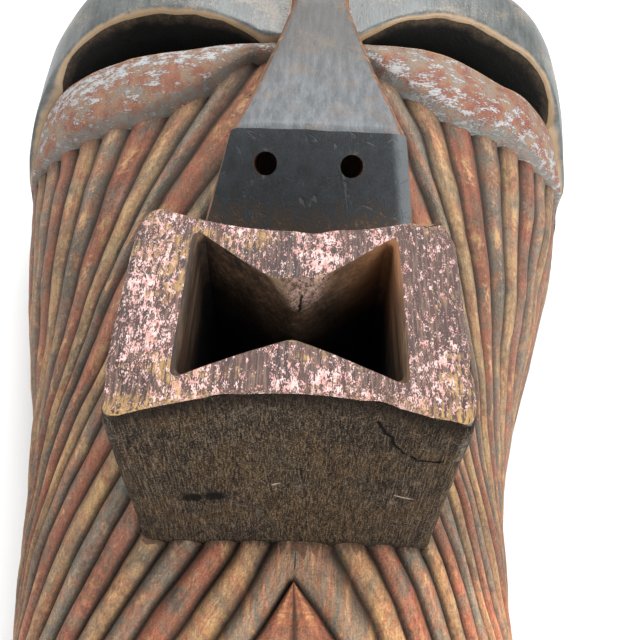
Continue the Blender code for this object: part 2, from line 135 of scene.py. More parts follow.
def faceHeight(y, inset=0.0):
    along = min(1.0, (y - chinY) / (browY - chinY))
    height = mix(face["chinHeight"], face["browHeight"], 1.2 * along - 0.2 * along**6)
    return (height - inset) * crownFall(y, browY, inset)


def arch(u):
    v = 1.0 - u
    across = 3.0 * v * v * u * face["shoulder"] + 3.0 * v * u * u + u**3
    up = v**3 + 3.0 * v * v * u + 3.0 * v * u * u * face["sideWall"]
    return across, up


def facePoint(side, u, y, inset=0.0):
    narrowing, lowering = 1.0, 1.0
    if y < chinY + inset:
        share = min(1.0, (chinY + inset - y) / face["chinRounding"])
        narrowing = 1.0 - face["chinNarrowing"] * share**3
        lowering = (1.0 - share**2.2) ** (1.0 / 2.2)
    across, up = arch(u)
    at = max(y, chinY)
    x = side * halfWidth(side, at, inset) * across * narrowing
    return Vector((x, y, faceHeight(at, inset) * up * lowering))


def outward(side, u, y):
    step = 0.002
    lowY, highY = max(y - step, chinY), min(y + step, topY - 0.0005)
    lowU, highU = max(u - 0.01, 0.0), min(u + 0.01, 1.0)
    along = facePoint(side, u, highY) - facePoint(side, u, lowY)
    across = facePoint(side, highU, y) - facePoint(side, lowU, y)
    out = across.cross(along) * side
    if u == 0.0:
        out.x = 0.0
    return out.normalized() if out.length > 0.0 else Vector((0.0, 0.0, 1.0))


def carved(side, u, y, rise):
    return facePoint(side, u, y) + outward(side, u, y) * rise


# Every grid leaves notes of where its vertices were put, so that the finished mesh can look up
# which ridge a vertex is on, how far along, and how high in the eye.
notes = []


# closeness and reach of the knife's wandering
knifeTurns = ((38.0, 0.0013), (105.0, 0.0005))
plainRim = {"height": 0.0012, "fade": 0.004, "knifeFade": 0.05, "inset": 0.0001}


def handCut(spot):
    # the knife wanders, but not on the rim that the mask lies on
    broad, narrow = (noise.noise_vector(spot * closeness) * reach for closeness, reach in knifeTurns)
    return spot + (broad + narrow) * clamp((spot.z - plainRim["fade"]) / plainRim["knifeFade"])


def gridOf(bm, columns, rows, finish, place):
    made = bmesh.ops.create_grid(bm, x_segments=columns, y_segments=rows, size=1.0)["verts"]
    rowOf = {}
    for vert in made:
        column = round((vert.co.x + 1.0) * 0.5 * columns)
        row = round((vert.co.y + 1.0) * 0.5 * rows)
        spot, ridge, along, level = place(column, row)
        if ridge >= 0.0:
            spot = handCut(spot)
        vert.co = spot
        rowOf[vert] = row
        notes.append((spot, ridge, along, level))
    for patch in {patch for vert in made for patch in vert.link_faces}:
        row = min(rowOf[vert] for vert in patch.verts)
        patch.material_index = finishOf[finish(row) if callable(finish) else finish]


# Ridges, counted from the eye's outer corner inwards and then down the middle to the chin
ridges = {
    "eye": 12,
    "chin": 23,
    "forehead": 19,
    "leftCorner": 14,
    "rightCorner": 12,
    "leftField": 0.14,
    "rightField": 0.20,
    "fieldY": -0.1645,
    "depth": 0.0026,
    "roundness": 2.6,
    "lean": 0.86,
    "uneven": 0.0009,
    "steps": (0.0, 0.1, 0.27, 0.5, 0.73, 0.9),
    "cheekRows": 60,
    "foreheadRows": 34,
    "chinPointY": -0.1565,
    "fadeCheek": 13.0,
    "fadeForehead": 8.0,
    "crestEndY": 0.205,
}
eyes = {
    "cornerY": 0.022,
    "footY": 0.0025,
    "footRise": 0.0255,
    "footLow": 0.33,
    "slitY": 0.035,
    "slitDrop": 0.0068,
    "slitStart": 0.07,
    "slitEnd": 0.505,
    "bandEnd": 0.68,
    "slant": 0.0012,
    "gap": 0.0185,
    "topY": 0.100,
    "step": 0.0045,
    "bulge": 0.0075,
    "lidRise": 0.0115,
    "lidFadeEnd": 0.8,
    "lidEdge": 0.0035,
    "lidSwell": 1.12,
    "bandSwell": 0.8,
    "stepShare": 0.07,
    "pocket": 0.04,
    "upperPocket": 1.3,
}
finishNames = ("ridges", "band", "lid", "slit", "noseTop", "noseSide", "noseUnder")
finishNames += ("mouthFront", "mouthSide", "mouthInside", "rim", "hollow", "nostril")
finishOf = {name: i for i, name in enumerate(finishNames)}


def eyeFoot(side, u):
    slant = side * eyes["slant"] * min(1.0, u / 0.15) * min(1.0, (rimStart - u) / 0.2)
    if u < eyes["footLow"]:
        share = (eyes["footLow"] - u) / eyes["footLow"]
        return eyes["footY"] + slant + eyes["footRise"] * min(1.0, (share * 1.35) ** 2.5)
    share = (u - eyes["footLow"]) / (rimStart - eyes["footLow"])
    return eyes["footY"] + slant + (eyes["cornerY"] - eyes["footY"]) * share**2


def eyeTop(u):
    return mix(eyes["cornerY"], eyes["topY"], math.sqrt(max(0.0, 1.0 - (u / rimStart) ** 3)))


def eyeColumn(k):
    return rimStart * (1.0 - k / ridges["eye"])


def cornerRidge(side):
    return ridges["leftCorner"] if side < 0 else ridges["rightCorner"]


def cheekStart(side, k):
    if k <= ridges["eye"]:
        u = eyeColumn(k)
        return u, eyeFoot(side, u)
    share = min(1.0, (k - ridges["eye"]) / (ridges["chin"] - ridges["eye"]))
    y = mix(eyeFoot(side, 0.0), ridges["chinPointY"], share)
    return 0.0, mix(y, ridges["fieldY"], clamp(k + 1.0 - ridges["chin"]))


def cheekEnd(side, k):
    corner = cornerRidge(side)
    if k <= corner:
        return rimStart, mix(eyes["cornerY"], chinY, (k / corner) ** (1.0 / 3.0))
    field = ridges["leftField"] if side < 0 else ridges["rightField"]
    if k <= ridges["chin"]:
        return mix(rimStart, field, (k - corner) / (ridges["chin"] - corner)), chinY
    return field * (ridges["chin"] + 1.0 - k), chinY


def foreheadStart(side, k):
    if k <= ridges["eye"]:
        u = eyeColumn(k)
        return u, eyeTop(u)
    share = (k - ridges["eye"]) / (ridges["forehead"] - ridges["eye"])
    return 0.0, mix(eyes["topY"], ridges["crestEndY"], share)


def foreheadEnd(side, k):
    share = math.sin(math.pi / 2.0 * k / ridges["forehead"])
    return rimStart, mix(eyes["cornerY"], topY - 0.006, share)


def ridgePoint(start, end, t, bend=0.35):
    bendU = mix(start[0], end[0], bend)
    bendY = mix(start[1], end[1], 1.0 - bend)
    a, b, c = (1.0 - t) ** 2, 2.0 * t * (1.0 - t), t * t
    return a * start[0] + b * bendU + c * end[0], a * start[1] + b * bendY + c * end[1]


def ridgeBend(side, k):
    share = ease((k - ridges["eye"]) / (ridges["chin"] - ridges["eye"]) * 1.6)
    return mix(0.35, 0.5, share if side > 0 else clamp(k + 1.0 - ridges["chin"]))


def ridgeAt(column):
    steps = ridges["steps"]
    return column // len(steps) + steps[column % len(steps)]


def groove(side, k, t, count):
    # rounded crests of uneven height with narrow valleys; the first and last half ridge stay plain
    if k < 0.5 or k > count - 0.5:
        return 0.0
    across = abs(2.0 * (k % 1.0) ** ridges["lean"] - 1.0)
    uneven = 0.5 + noise.noise(Vector((math.floor(k) * 1.7, t * 4.0, side * 9.0)))
    uneven *= min(1.0, 2.0 * k - 1.0, 2.0 * (count - k) - 1.0)
    return -ridges["depth"] * across ** ridges["roundness"] - ridges["uneven"] * uneven * (1.0 - across)


def addCheek(bm, side):
    count = ridges["chin"] + 1
    rows = ridges["cheekRows"]

    def place(column, row):
        k, t = ridgeAt(column), row / rows
        fade = min(1.0, (1.0 - t) * ridges["fadeCheek"] / 1.5)
        u, y = ridgePoint(cheekStart(side, k), cheekEnd(side, k), t, ridgeBend(side, k))
        return carved(side, u, y, groove(side, k, t, count) * fade), k, t, 0.0

    gridOf(bm, count * len(ridges["steps"]), rows, "ridges", place)


def addForehead(bm, side):
    count = ridges["forehead"]
    rows = ridges["foreheadRows"]

    def place(column, row):
        k, t = ridgeAt(column), row / rows
        fade = min(1.0, (1.0 - t) * ridges["fadeForehead"], t * ridges["fadeForehead"])
        bend = mix(0.65, 0.35, min(1.0, k / 5.0))
        u, y = ridgePoint(foreheadStart(side, k), foreheadEnd(side, k), t, bend)
        return carved(side, u, y, groove(side, k, t, count) * fade), k, t, 2.0

    gridOf(bm, count * len(ridges["steps"]), rows, "ridges", place)


def addBorder(bm, side, ends, count):
    def place(column, row):
        k = ridgeAt(column)
        return facePoint(side, borderSteps[row], ends(side, k)[1]), k, 1.0 + 0.1 * row, 0.0

    gridOf(bm, count * len(ridges["steps"]), len(borderSteps) - 1, "ridges", place)


def addChinEnd(bm, side):
    first = cornerRidge(side) * len(ridges["steps"])
    last = (ridges["chin"] + 1) * len(ridges["steps"])
    across = [(u, cornerRidge(side)) for u in reversed(borderSteps[1:])]
    across += [(cheekEnd(side, ridgeAt(j))[0], ridgeAt(j)) for j in range(first, last + 1)]
    steps = 12

    def place(column, row):
        u, k = across[column]
        y = chinY - face["chinRounding"] * math.sin(math.pi / 2.0 * row / steps)
        return facePoint(side, u, y), k, 1.0 + 0.1 * row, 0.0

    gridOf(bm, len(across) - 1, steps, "ridges", place)


def addCrownEnd(bm, side):
    count, rows = ridges["forehead"], ridges["foreheadRows"]
    start, end = foreheadStart(side, count), foreheadEnd(side, count)
    line = [ridgePoint(start, end, i / rows) for i in range(rows + 1)]
    line += [(u, end[1]) for u in borderSteps[1:]]
    shares = (0.0, 0.2, 0.4, 0.6, 0.75, 0.9, 1.0)

    def place(column, row):
        u, y = line[column]
        return facePoint(side, u, mix(y, topY, shares[row])), float(count), 1.0, 2.0

    gridOf(bm, len(line) - 1, len(shares) - 1, "ridges", place)


# Eyes: a cheek band with a low step, the slit as a deep pocket, and the hooding lid above it


def slitEnd(side):
    return eyes["slitEnd"] * (1.0 + 0.04 * side)


def slitOpening(side, u):
    along = (u - eyes["slitStart"]) / (slitEnd(side) - eyes["slitStart"])
    if along < 0.01 or along > 0.99:
        return 0.0
    return math.sin(math.pi * along**1.1) ** 0.7


def slitLine(side, u):
    foot = eyeFoot(side, u)
    wave = math.sin(math.pi * min(1.0, u / 0.35))
    low = eyes["slitY"] + side * 2.0 * eyes["slant"] * wave - eyes["slitDrop"] * u / eyes["slitEnd"]
    low = mix(low, foot, ease((u - slitEnd(side)) / (eyes["bandEnd"] - slitEnd(side))))
    return max(low, foot + 0.0015 * min(1.0, (rimStart - u) / 0.1))


bandSteps = (0.0, 0.03, 0.07, 0.12, 0.2, 0.3, 0.4, 0.5, 0.6, 0.7, 0.8, 0.88, 0.95, 1.0)
pocketSteps = (0.03, 0.1, 0.3, 0.6, 1.0)
lidSteps = (0.0, 0.25, 0.5, 0.75, 1.0)
domeSteps = (0.08, 0.2, 0.35, 0.5, 0.6, 0.7, 0.8, 0.88, 0.95, 1.0)
eyeRows = [("band", s) for s in bandSteps]
eyeRows += [("lower", s) for s in pocketSteps]
eyeRows += [("upper", s) for s in reversed(pocketSteps)]
eyeRows += [("edge", s) for s in lidSteps]
eyeRows += [("dome", s) for s in domeSteps]


def addEye(bm, side):
    columns = ridges["eye"] * len(ridges["steps"])

    def place(column, row):
        k = ridgeAt(column)
        u = eyeColumn(k)
        foot, low, top = eyeFoot(side, u), slitLine(side, u), eyeTop(u)
        gap = slitOpening(side, u)
        high = low + eyes["gap"] * gap
        fullness = ease((eyes["lidFadeEnd"] - u) / 0.42) * mix(0.45, 1.0, ease(u / 0.2))
        band, lid = eyes["bulge"] * fullness, eyes["lidRise"] * fullness
        lowerLip, lidLip, step = band * eyes["bandSwell"], lid * eyes["lidSwell"], eyes["step"] * fullness
        lipRise = mix(lowerLip, lid, min(1.0, gap * 2.0))
        kind, s = eyeRows[row]
        if kind == "band":
            if s <= eyes["stepShare"]:
                rise = mix(groove(side, k, 0.0, 1e3), step, ease(s / eyes["stepShare"]))
            else:
                rise = curveThrough(((eyes["stepShare"], step), (0.5, band), (1.0, lowerLip)), s)
            return carved(side, u, mix(foot, low, s), rise), k, 0.0, s
        inward = outward(side, u, mix(low, high, 0.5)) * (eyes["pocket"] if gap > 0.0 else 0.0)
        if kind == "lower":
            return carved(side, u, low, lowerLip) - inward * s, k, s, 1.0
        if kind == "upper":
            deep = eyes["upperPocket"] * s
            return carved(side, u, high, lipRise) - inward * deep, k, deep, 1.0
        if kind == "edge":
            y = high + eyes["lidEdge"] * fullness * s
            return carved(side, u, y, mix(lipRise, lidLip, 1.0 - (1.0 - s) ** 2)), k, 0.0, 1.0 + 0.2 * s
        y = mix(high + eyes["lidEdge"] * fullness, top, s)
        table = ((0.0, lidLip), (0.5, lid * 1.1), (0.85, lid * 0.55), (1.0, 0.0))
        return carved(side, u, y, curveThrough(table, s)), k, 0.0, 1.2 + 0.8 * s

    zones = {"band": "band", "lower": "slit", "upper": "slit", "edge": "lid", "dome": "lid"}
    gridOf(bm, columns, len(eyeRows) - 1, lambda row: zones[eyeRows[row + 1][0]], place)


def closeUp(bm):
    bmesh.ops.remove_doubles(bm, verts=bm.verts, dist=0.00002)
    bmesh.ops.dissolve_degenerate(bm, edges=bm.edges, dist=0.00002)
    rim = [edge for edge in bm.edges if edge.is_boundary]
    if rim:
        filled = bmesh.ops.holes_fill(bm, edges=rim, sides=0)
        for patch in filled["faces"]:
            patch.material_index = finishOf["rim"]
    bmesh.ops.recalc_face_normals(bm, faces=bm.faces)
    if bm.calc_volume(signed=True) < 0.0:
        bmesh.ops.reverse_faces(bm, faces=bm.faces)


def newPiece(name, bm):
    mesh = bpy.data.meshes.new(name)
    bm.to_mesh(mesh)
    bm.free()
    piece = bpy.data.objects.new(name, mesh)
    bpy.context.scene.collection.objects.link(piece)
    for finish in finishNames:
        mesh.materials.append(None)
    return piece


def carveBlock():
    bm = bmesh.new()
    for side in (-1, 1):
        addCheek(bm, side)
        addEye(bm, side)
        addForehead(bm, side)
        addBorder(bm, side, cheekEnd, cornerRidge(side))
        addBorder(bm, side, foreheadEnd, ridges["forehead"])
        addChinEnd(bm, side)
        addCrownEnd(bm, side)
    closeUp(bm)
    return newPiece("carvedMask", bm)


hollowing = {
    "rows": 64,
    "half": 26,
    "spare": 0.0005,
    "adze": (62.0, 45.0, 62.0),
    "scoop": 0.0011,
    "skirt": 0.02,
}


def carveHollow():
    low = chinY - face["chinRounding"] + face["wall"] + hollowing["spare"]
    high = topY - face["wall"] - hollowing["spare"]
    rows, half = hollowing["rows"], hollowing["half"]
    rings = []
    for i in range(rows + 1):
        y = mix(low, high, 0.5 - 0.5 * math.cos(math.pi * i / rows))
        arc = [facePoint(-1, 1.0 - j / half, y, face["wall"]) for j in range(half)]
        arc += [facePoint(1, j / half, y, face["wall"]) for j in range(half + 1)]
        for spot in arc:
            # shallow scoops of the adze
            hit = noise.voronoi(spot * Vector(hollowing["adze"]))[0][0]
            fade = min(1.0, spot.z / 0.01) * min(1.0, i / 3.0, (rows - i) / 3.0)
            spot.z += hollowing["scoop"] * (1.0 - min(1.0, hit)) * fade
        for end in (arc[0], arc[-1]):
            end.z -= hollowing["skirt"]
        rings.append(arc)
    bm = bmesh.new()
    count = len(rings[0])

    def place(column, row):
        return rings[row][column % count], -1.0, row / rows, 0.0

    gridOf(bm, count, rows, "hollow", place)
    closeUp(bm)
    for patch in bm.faces:
        patch.material_index = finishOf["hollow"]
    return newPiece("hollowCutter", bm)


# The box mouth
mouth = {
    "shift": -0.0027,
    "width": 0.0804,
    "flare": 0.015,
    "topY": -0.0925,
    "bottomY": -0.1535,
    "front": 0.1546,
    "corner": 0.0035,
    "topDip": 0.0067,
    "bottomRise": 0.0074,
    "footDrop": 0.0022,
    "opening": 0.0482,
    "openingCorner": 0.0015,
    "plugCorner": 0.003,
    "sideRings": 44,
    "frontRings": 11,
    "boreRings": 24,
    "boreStep": 0.0012,
    "footRings": 14,
    "upperLip": 0.0102,
    "lowerLip": 0.0115,
    "upperNotch": 0.0159,
    "lowerNotch": 0.0102,
    "rounding": 0.0015,
    "breakDepth": 0.0075,  # how far the broken tip of the upper notch reaches back
}


def mouthOutline(half, low, high, corner, dip, rise, pointed):
    span = half - corner

    def bend(x, amount):
        share = abs(x) / span
        return amount * (1.0 - share**1.15 if pointed else 1.0 - share * share)

    steps, sideSteps, turnSteps = 44, 18, 4
    line = [span * (2.0 * i / steps - 1.0) for i in range(steps + 1)]
    bottom = [Vector((x, low + bend(x, rise), 0.0)) for x in line]
    top = [Vector((-x, high - bend(x, dip), 0.0)) for x in line]
    right = []
    for i in range(1, turnSteps + 1):
        turn = math.pi / 2.0 * i / turnSteps
        right.append(Vector((span + corner * math.sin(turn), low + corner * (1.0 - math.cos(turn)), 0.0)))
    for i in range(1, sideSteps):
        right.append(Vector((half, mix(low + corner, high - corner, i / sideSteps), 0.0)))
    for i in range(turnSteps):
        turn = math.pi / 2.0 * i / turnSteps
        right.append(Vector((span + corner * math.cos(turn), high - corner * (1.0 - math.sin(turn)), 0.0)))
    left = [Vector((-point.x, low + high - point.y, 0.0)) for point in right]
    around = bottom + right + top + left
    for point in around:
        point.x *= 1.0 + mouth["flare"] * (low + high - 2.0 * point.y) / (high - low)
    return around


def carveMouth():
    centre = Vector((0.0, (mouth["topY"] + mouth["bottomY"]) / 2.0, 0.0))
    half = mouth["width"] / 2.0
    bottom, top, corner = mouth["bottomY"], mouth["topY"], mouth["corner"]
    outer = mouthOutline(half, bottom, top, corner, mouth["topDip"], mouth["bottomRise"], False)
    root = mouthOutline(half, bottom, top, corner, mouth["topDip"], -mouth["footDrop"], False)
    low, high = bottom + mouth["lowerLip"], top - mouth["upperLip"]
    notches = (mouth["upperNotch"], mouth["lowerNotch"])
    inner = mouthOutline(mouth["opening"] / 2.0, low, high, mouth["openingCorner"], *notches, True)
    rounding = mouth["rounding"]
    shrink = 1.0 - 2.0 * rounding / mouth["width"]
    widen = 1.0 + 2.0 * rounding / mouth["opening"]
    front = mouth["front"]
    foot, chin = (face["chinHeight"] - walls * face["wall"] for walls in (3.0, 0.1))

    def level(outline, factor, height):
        raised = Vector((mouth["shift"], 0.0, height))
        return [centre + (point - centre) * factor + raised for point in outline]

    def between(a, b, count):
        return [[p.lerp(q, i / count) for p, q in zip(a, b)] for i in range(count + 1)]

    rings, kinds = [], []

    def addRings(kind, made):
        rings.extend(made)
        kinds.extend([kind] * len(made))

    base, shoulder = level(root, 1.0, chin), level(outer, 1.0, front - rounding)
    addRings("mouthSide", [level(root, 1.0, foot)])
    addRings("mouthSide", between(base, shoulder, mouth["sideRings"]))
    for turn in (0.3, 0.6):
        angle = math.pi / 2.0 * turn
        factor = mix(1.0, shrink, 1.0 - math.cos(angle))
        addRings("mouthFront", [level(outer, factor, front - rounding * (1.0 - math.sin(angle)))])
    edge, lip = level(outer, shrink, front), level(inner, widen, front)
    addRings("mouthFront", between(edge, lip, mouth["frontRings"]))
    for turn in (0.4, 0.7):
        angle = math.pi / 2.0 * turn
        factor = mix(widen, 1.0, math.sin(angle))
        addRings("mouthInside", [level(inner, factor, front - rounding * (1.0 - math.cos(angle)))])
    depths = [front - rounding - mouth["boreStep"] * i for i in range(mouth["boreRings"])]
    depths += [mix(depths[-1], foot, i / mouth["footRings"]) for i in range(1, mouth["footRings"] + 1)]
    addRings("mouthInside", [level(inner, 1.0, depth) for depth in depths])
    bm = bmesh.new()
    count = len(outer)

    def place(column, row):
        return rings[row % len(rings)][column % count], -1.0, row / len(rings), 0.0

    gridOf(bm, count, len(rings), lambda row: kinds[(row + 1) % len(kinds)], place)
    closeUp(bm)
    return newPiece("mouthTube", bm)


def carvePlug():
    outline = mouthOutline(
        (mouth["width"] / 2.0 + mouth["opening"] / 2.0) / 2.0,
        mouth["bottomY"] + mouth["lowerLip"] / 2.0,
        mouth["topY"] - mouth["upperLip"] / 2.0,
        mouth["plugCorner"],
        (mouth["topDip"] + mouth["upperNotch"]) / 2.0,
        (mouth["bottomRise"] + mouth["lowerNotch"]) / 2.0,
        False,
    )
    bm = bmesh.new()
    base = bm.faces.new([bm.verts.new(point + Vector((mouth["shift"], 0.0, -0.02))) for point in outline])
    raised = bmesh.ops.extrude_face_region(bm, geom=[base])["geom"]
    raised = [part for part in raised if isinstance(part, bmesh.types.BMVert)]
    bmesh.ops.translate(bm, verts=raised, vec=(0.0, 0.0, mouth["front"] + 0.01))
    closeUp(bm)
    return newPiece("mouthPlug", bm)


# The nose with its crest
nose = {
    "shift": 0.003,
    "tipY": -0.042,
    "tipHeight": 0.139,
    "half": 0.0275,
    "leftFlare": 0.021,
    "rightFlare": 0.010,
    "underside": 0.036,
    "bridgeY": 0.046,
    "bridgeHeight": 0.125,
    "bridgeHalf": 0.0115,
    "crestRise": 0.014,
    "crestHalf": 0.0085,
    "nostrilRadius": 0.0034,
    "nostrilSpacing": 0.0268,
    "nostrilDrop": 0.012,
    "nostrilDepth": 0.022,
    "crown": 0.0006,
    "edgeDrop": 0.0015,
    "edgeInset": 0.002,
    "tipShares": (0.008, 0.02, 0.035),
    "bridgeRings": 46,
    "browRings": 18,
    "crestRings": 42,
}
flankSteps, topSteps = 14, 16


def noseStation(y, height, half, flare, foot, footY, crown=nose["crown"]):
    x = nose["shift"]
    leftFoot = Vector((x - half - nose["leftFlare"] * flare, footY, foot))
    rightFoot = Vector((x + half + nose["rightFlare"] * flare, footY, foot))
    leftEdge, rightEdge = (Vector((x + way * half, y, height - nose["edgeDrop"])) for way in (-1, 1))
    left = [leftFoot.lerp(leftEdge, i / flankSteps) for i in range(flankSteps + 1)]
    right = [rightFoot.lerp(rightEdge, i / flankSteps) for i in range(flankSteps + 1)]
    over = []
    for i in range(1, topSteps):
        across = -1.0 + 2.0 * (i - 1) / (topSteps - 2)
        inset = (half - nose["edgeInset"]) * across
        over.append(Vector((x + inset, y, height + crown * (1.0 - across * across))))
    shares = [(point.x - leftEdge.x) / (rightEdge.x - leftEdge.x) for point in over]
    under = [leftFoot.lerp(rightFoot, share) for share in shares]
    return left + over + right[::-1] + under[::-1], left, over, right, shares


def noseRings():
    foot = face["chinHeight"] - 0.5 * face["wall"]
    slope = nose["underside"] / (nose["tipHeight"] - faceHeight(nose["tipY"] - nose["underside"]))
    tipFootY = nose["tipY"] - slope * (nose["tipHeight"] - foot)
    rings = [noseStation(nose["tipY"], nose["tipHeight"], nose["half"], 1.0, foot, tipFootY, 0.0)]
    count = nose["bridgeRings"]
    for share in (*nose["tipShares"], *(0.05 + 0.95 * i / count for i in range(count + 1))):
        y = mix(nose["tipY"], nose["bridgeY"], share)
        half = mix(nose["half"], nose["bridgeHalf"], share**0.95)
        height = mix(nose["tipHeight"], nose["bridgeHeight"], share) - 0.002 * math.sin(math.pi * share)
        footY = mix(tipFootY + 0.01, y, min(1.0, share * 3.0))
        crown = nose["crown"] * min(1.0, share / 0.02)
        rings.append(noseStation(y, height, half, mix(1.0, 0.35, share), foot, footY, crown))
    for i in range(nose["browRings"]):
        share = (i + 1) / nose["browRings"]
        y = mix(nose["bridgeY"], eyes["topY"], share)
        height = mix(nose["bridgeHeight"], faceHeight(eyes["topY"]) + nose["crestRise"], share)
        half = mix(nose["bridgeHalf"], nose["crestHalf"], share)
        rings.append(noseStation(y, height, half, mix(0.35, 0.15, share), foot, y))
    for i in range(nose["crestRings"]):
        share = (i + 1) / nose["crestRings"]
        y = mix(eyes["topY"], ridges["crestEndY"], share)
        height = faceHeight(y) + nose["crestRise"] * (1.0 - ease((share - 4.0 / 7.0) * 7.0 / 3.0) * 1.6)
        half = mix(nose["crestHalf"], nose["crestHalf"] * 0.7, share)
        rings.append(noseStation(y, height, half, 0.15, min(foot, faceHeight(y) - 0.03), y))
    return rings


def carveNose():
    rings = noseRings()
    loops = [ring[0] for ring in rings]
    count = len(loops[0])
    bm = bmesh.new()

    def place(column, row):
        return loops[row][column % count], -1.0, row / len(loops), 1.0

    gridOf(bm, count, len(loops) - 1, "noseSide", place)
    loop, left, over, right, shares = rings[0]
    across = [0.0] + shares + [1.0]

    def placeUnder(column, row):
        base = left[row].lerp(right[row], across[column])
        if 0 < column < len(across) - 1:
            lifted = over[column - 1] - left[-1].lerp(right[-1], across[column])
            base = base + lifted * (row / flankSteps) ** 6
        return base, -1.0, row / flankSteps, 0.0

    gridOf(bm, len(across) - 1, flankSteps, "noseUnder", placeUnder)
    closeUp(bm)
    for patch in bm.faces:
        # the flat top of the nose and of the crest
        if patch.material_index == finishOf["noseSide"] and patch.normal.z > 0.9:
            patch.material_index = finishOf["noseTop"]
    return newPiece("noseBlock", bm)


def drillNostril(side):
    fall = nose["tipHeight"] - faceHeight(nose["tipY"] - nose["underside"])
    down = Vector((0.0, -nose["underside"], -fall)).normalized()
    out = Vector((0.0, down.z, -down.y))
    tip = Vector((0.0, nose["tipY"], nose["tipHeight"]))
    centre = tip + down * nose["nostrilDrop"] + Vector((side * nose["nostrilSpacing"] / 2.0, 0.0, 0.0))
    bm = bmesh.new()
    radius, depth = nose["nostrilRadius"], 2.0 * nose["nostrilDepth"]
    bmesh.ops.create_cone(bm, cap_ends=True, segments=28, radius1=radius, radius2=radius, depth=depth)
    bm.transform(out.to_track_quat("Z", "Y").to_matrix().to_4x4())
    bmesh.ops.translate(bm, verts=bm.verts, vec=centre)
    for patch in bm.faces:
        patch.material_index = finishOf["nostril"]
    return newPiece("nostrilDrill", bm)


def combine(target, tool, operation):
    modifier = target.modifiers.new(tool.name, "BOOLEAN")
    modifier.operation = operation
    modifier.solver = "MANIFOLD"
    modifier.object = tool
    graph = bpy.context.evaluated_depsgraph_get()
    mesh = bpy.data.meshes.new_from_object(target.evaluated_get(graph))
    target.modifiers.clear()
    old = target.data
    target.data = mesh
    bpy.data.meshes.remove(old)
    bpy.data.objects.remove(tool)
    print("carved", operation, len(mesh.polygons), "faces")


mask = carveBlock()
print("block", len(mask.data.polygons), "faces")
combine(mask, carvePlug(), "DIFFERENCE")
combine(mask, carveNose(), "UNION")
combine(mask, carveMouth(), "UNION")
combine(mask, carveHollow(), "DIFFERENCE")
for side in (-1, 1):
    combine(mask, drillNostril(side), "DIFFERENCE")


# Wear. The mask is shifted sideways first, so that the middle of the rim is over the origin.
wear = {
    "edgePull": 0.4,
    "edgeStart": 0.00006,
    "edgeLimit": 0.0006,
    "boxSpare": 0.00005,
    "broad": (0.00042, 60.0),  # depth and closeness of the knife's unevenness
    "fine": (0.00016, 260.0),
    # the broken tip of the upper notch, with reaches counted in break depths behind the front
    "tip": {
        "x": 0.0004,
        "y": -0.1145,
        "deeper": 0.0045,
        "half": 0.009,
        "rows": (-0.1205, -0.11),
        "reach": (-0.1, 2.6),
        "ragged": (0.0009, 300.0),
        "ledge": (1.25, 1.9),
        "ledgeRise": 0.0016,
    },
    # place, radius and depth of knocks along the edges
    "knocks": (
        ((-0.0432, -0.0925, 0.1546), 0.0090, 0.0018),
        ((0.0378, -0.0925, 0.1546), 0.0090, 0.0018),
        ((-0.0425, -0.1535, 0.1546), 0.0070, 0.0010),
        ((0.0372, -0.1535, 0.1546), 0.0070, 0.0010),
        ((0.0310, -0.0935, 0.1546), 0.0035, 0.0011),
        ((-0.0345, -0.1005, 0.1546), 0.0030, 0.0008),
        ((-0.0370, -0.1460, 0.1540), 0.0060, 0.0014),
        ((0.0385, -0.1380, 0.1546), 0.0035, 0.0009),
        ((0.0372, -0.1180, 0.1546), 0.0028, 0.0007),
        ((-0.0150, -0.1490, 0.1546), 0.0045, 0.0007),
        ((0.0190, -0.1490, 0.1546), 0.0040, 0.0009),
        ((0.0040, -0.0990, 0.1546), 0.0040, 0.0006),
        ((-0.0170, -0.0420, 0.1390), 0.0040, 0.0009),
        ((0.0150, -0.0420, 0.1390), 0.0050, 0.0008),
        ((0.0310, -0.0410, 0.1390), 0.0035, 0.0010),
        ((-0.0240, -0.0410, 0.1390), 0.0030, 0.0009),
    ),
}


def roughness(spot, setting):
    depth, closeness = setting
    return depth * (0.5 + 0.5 * noise.noise(spot * closeness))


def roundEdges(bm):
    pulls = []
    for vert in bm.verts:
        drilled = any(patch.material_index == finishOf["nostril"] for patch in vert.link_faces)
        if vert.co.z < plainRim["height"] or drilled:
            continue
        around = Vector()
        for edge in vert.link_edges:
            around += edge.other_vert(vert).co
        pull = around / len(vert.link_edges) - vert.co
        if -pull.dot(vert.normal) > wear["edgeStart"]:
            pull *= wear["edgePull"] * (1.0 + 0.6 * noise.noise(vert.co * 120.0))
            if pull.length > wear["edgeLimit"]:
                pull *= wear["edgeLimit"] / pull.length
            pulls.append((vert, pull))
    for vert, pull in pulls:
        vert.co += pull
    bm.normal_update()


def tipLimit(spot):
    # where the wood now ends in y, or None away from the broken tip
    tip = wear["tip"]
    back = (mouth["front"] - spot.z) / mouth["breakDepth"]
    (low, high), (first, last) = tip["rows"], tip["reach"]
    if abs(spot.x - tip["x"]) >= tip["half"] or not low < spot.y < high or not first < back < last:
        return None
    amount, closeness = tip["ragged"]
    limit = tip["y"] - tip["deeper"] * min(1.0, back) + amount * noise.noise(spot * closeness)
    return limit + tip["ledgeRise"] if tip["ledge"][0] < back < tip["ledge"][1] else limit


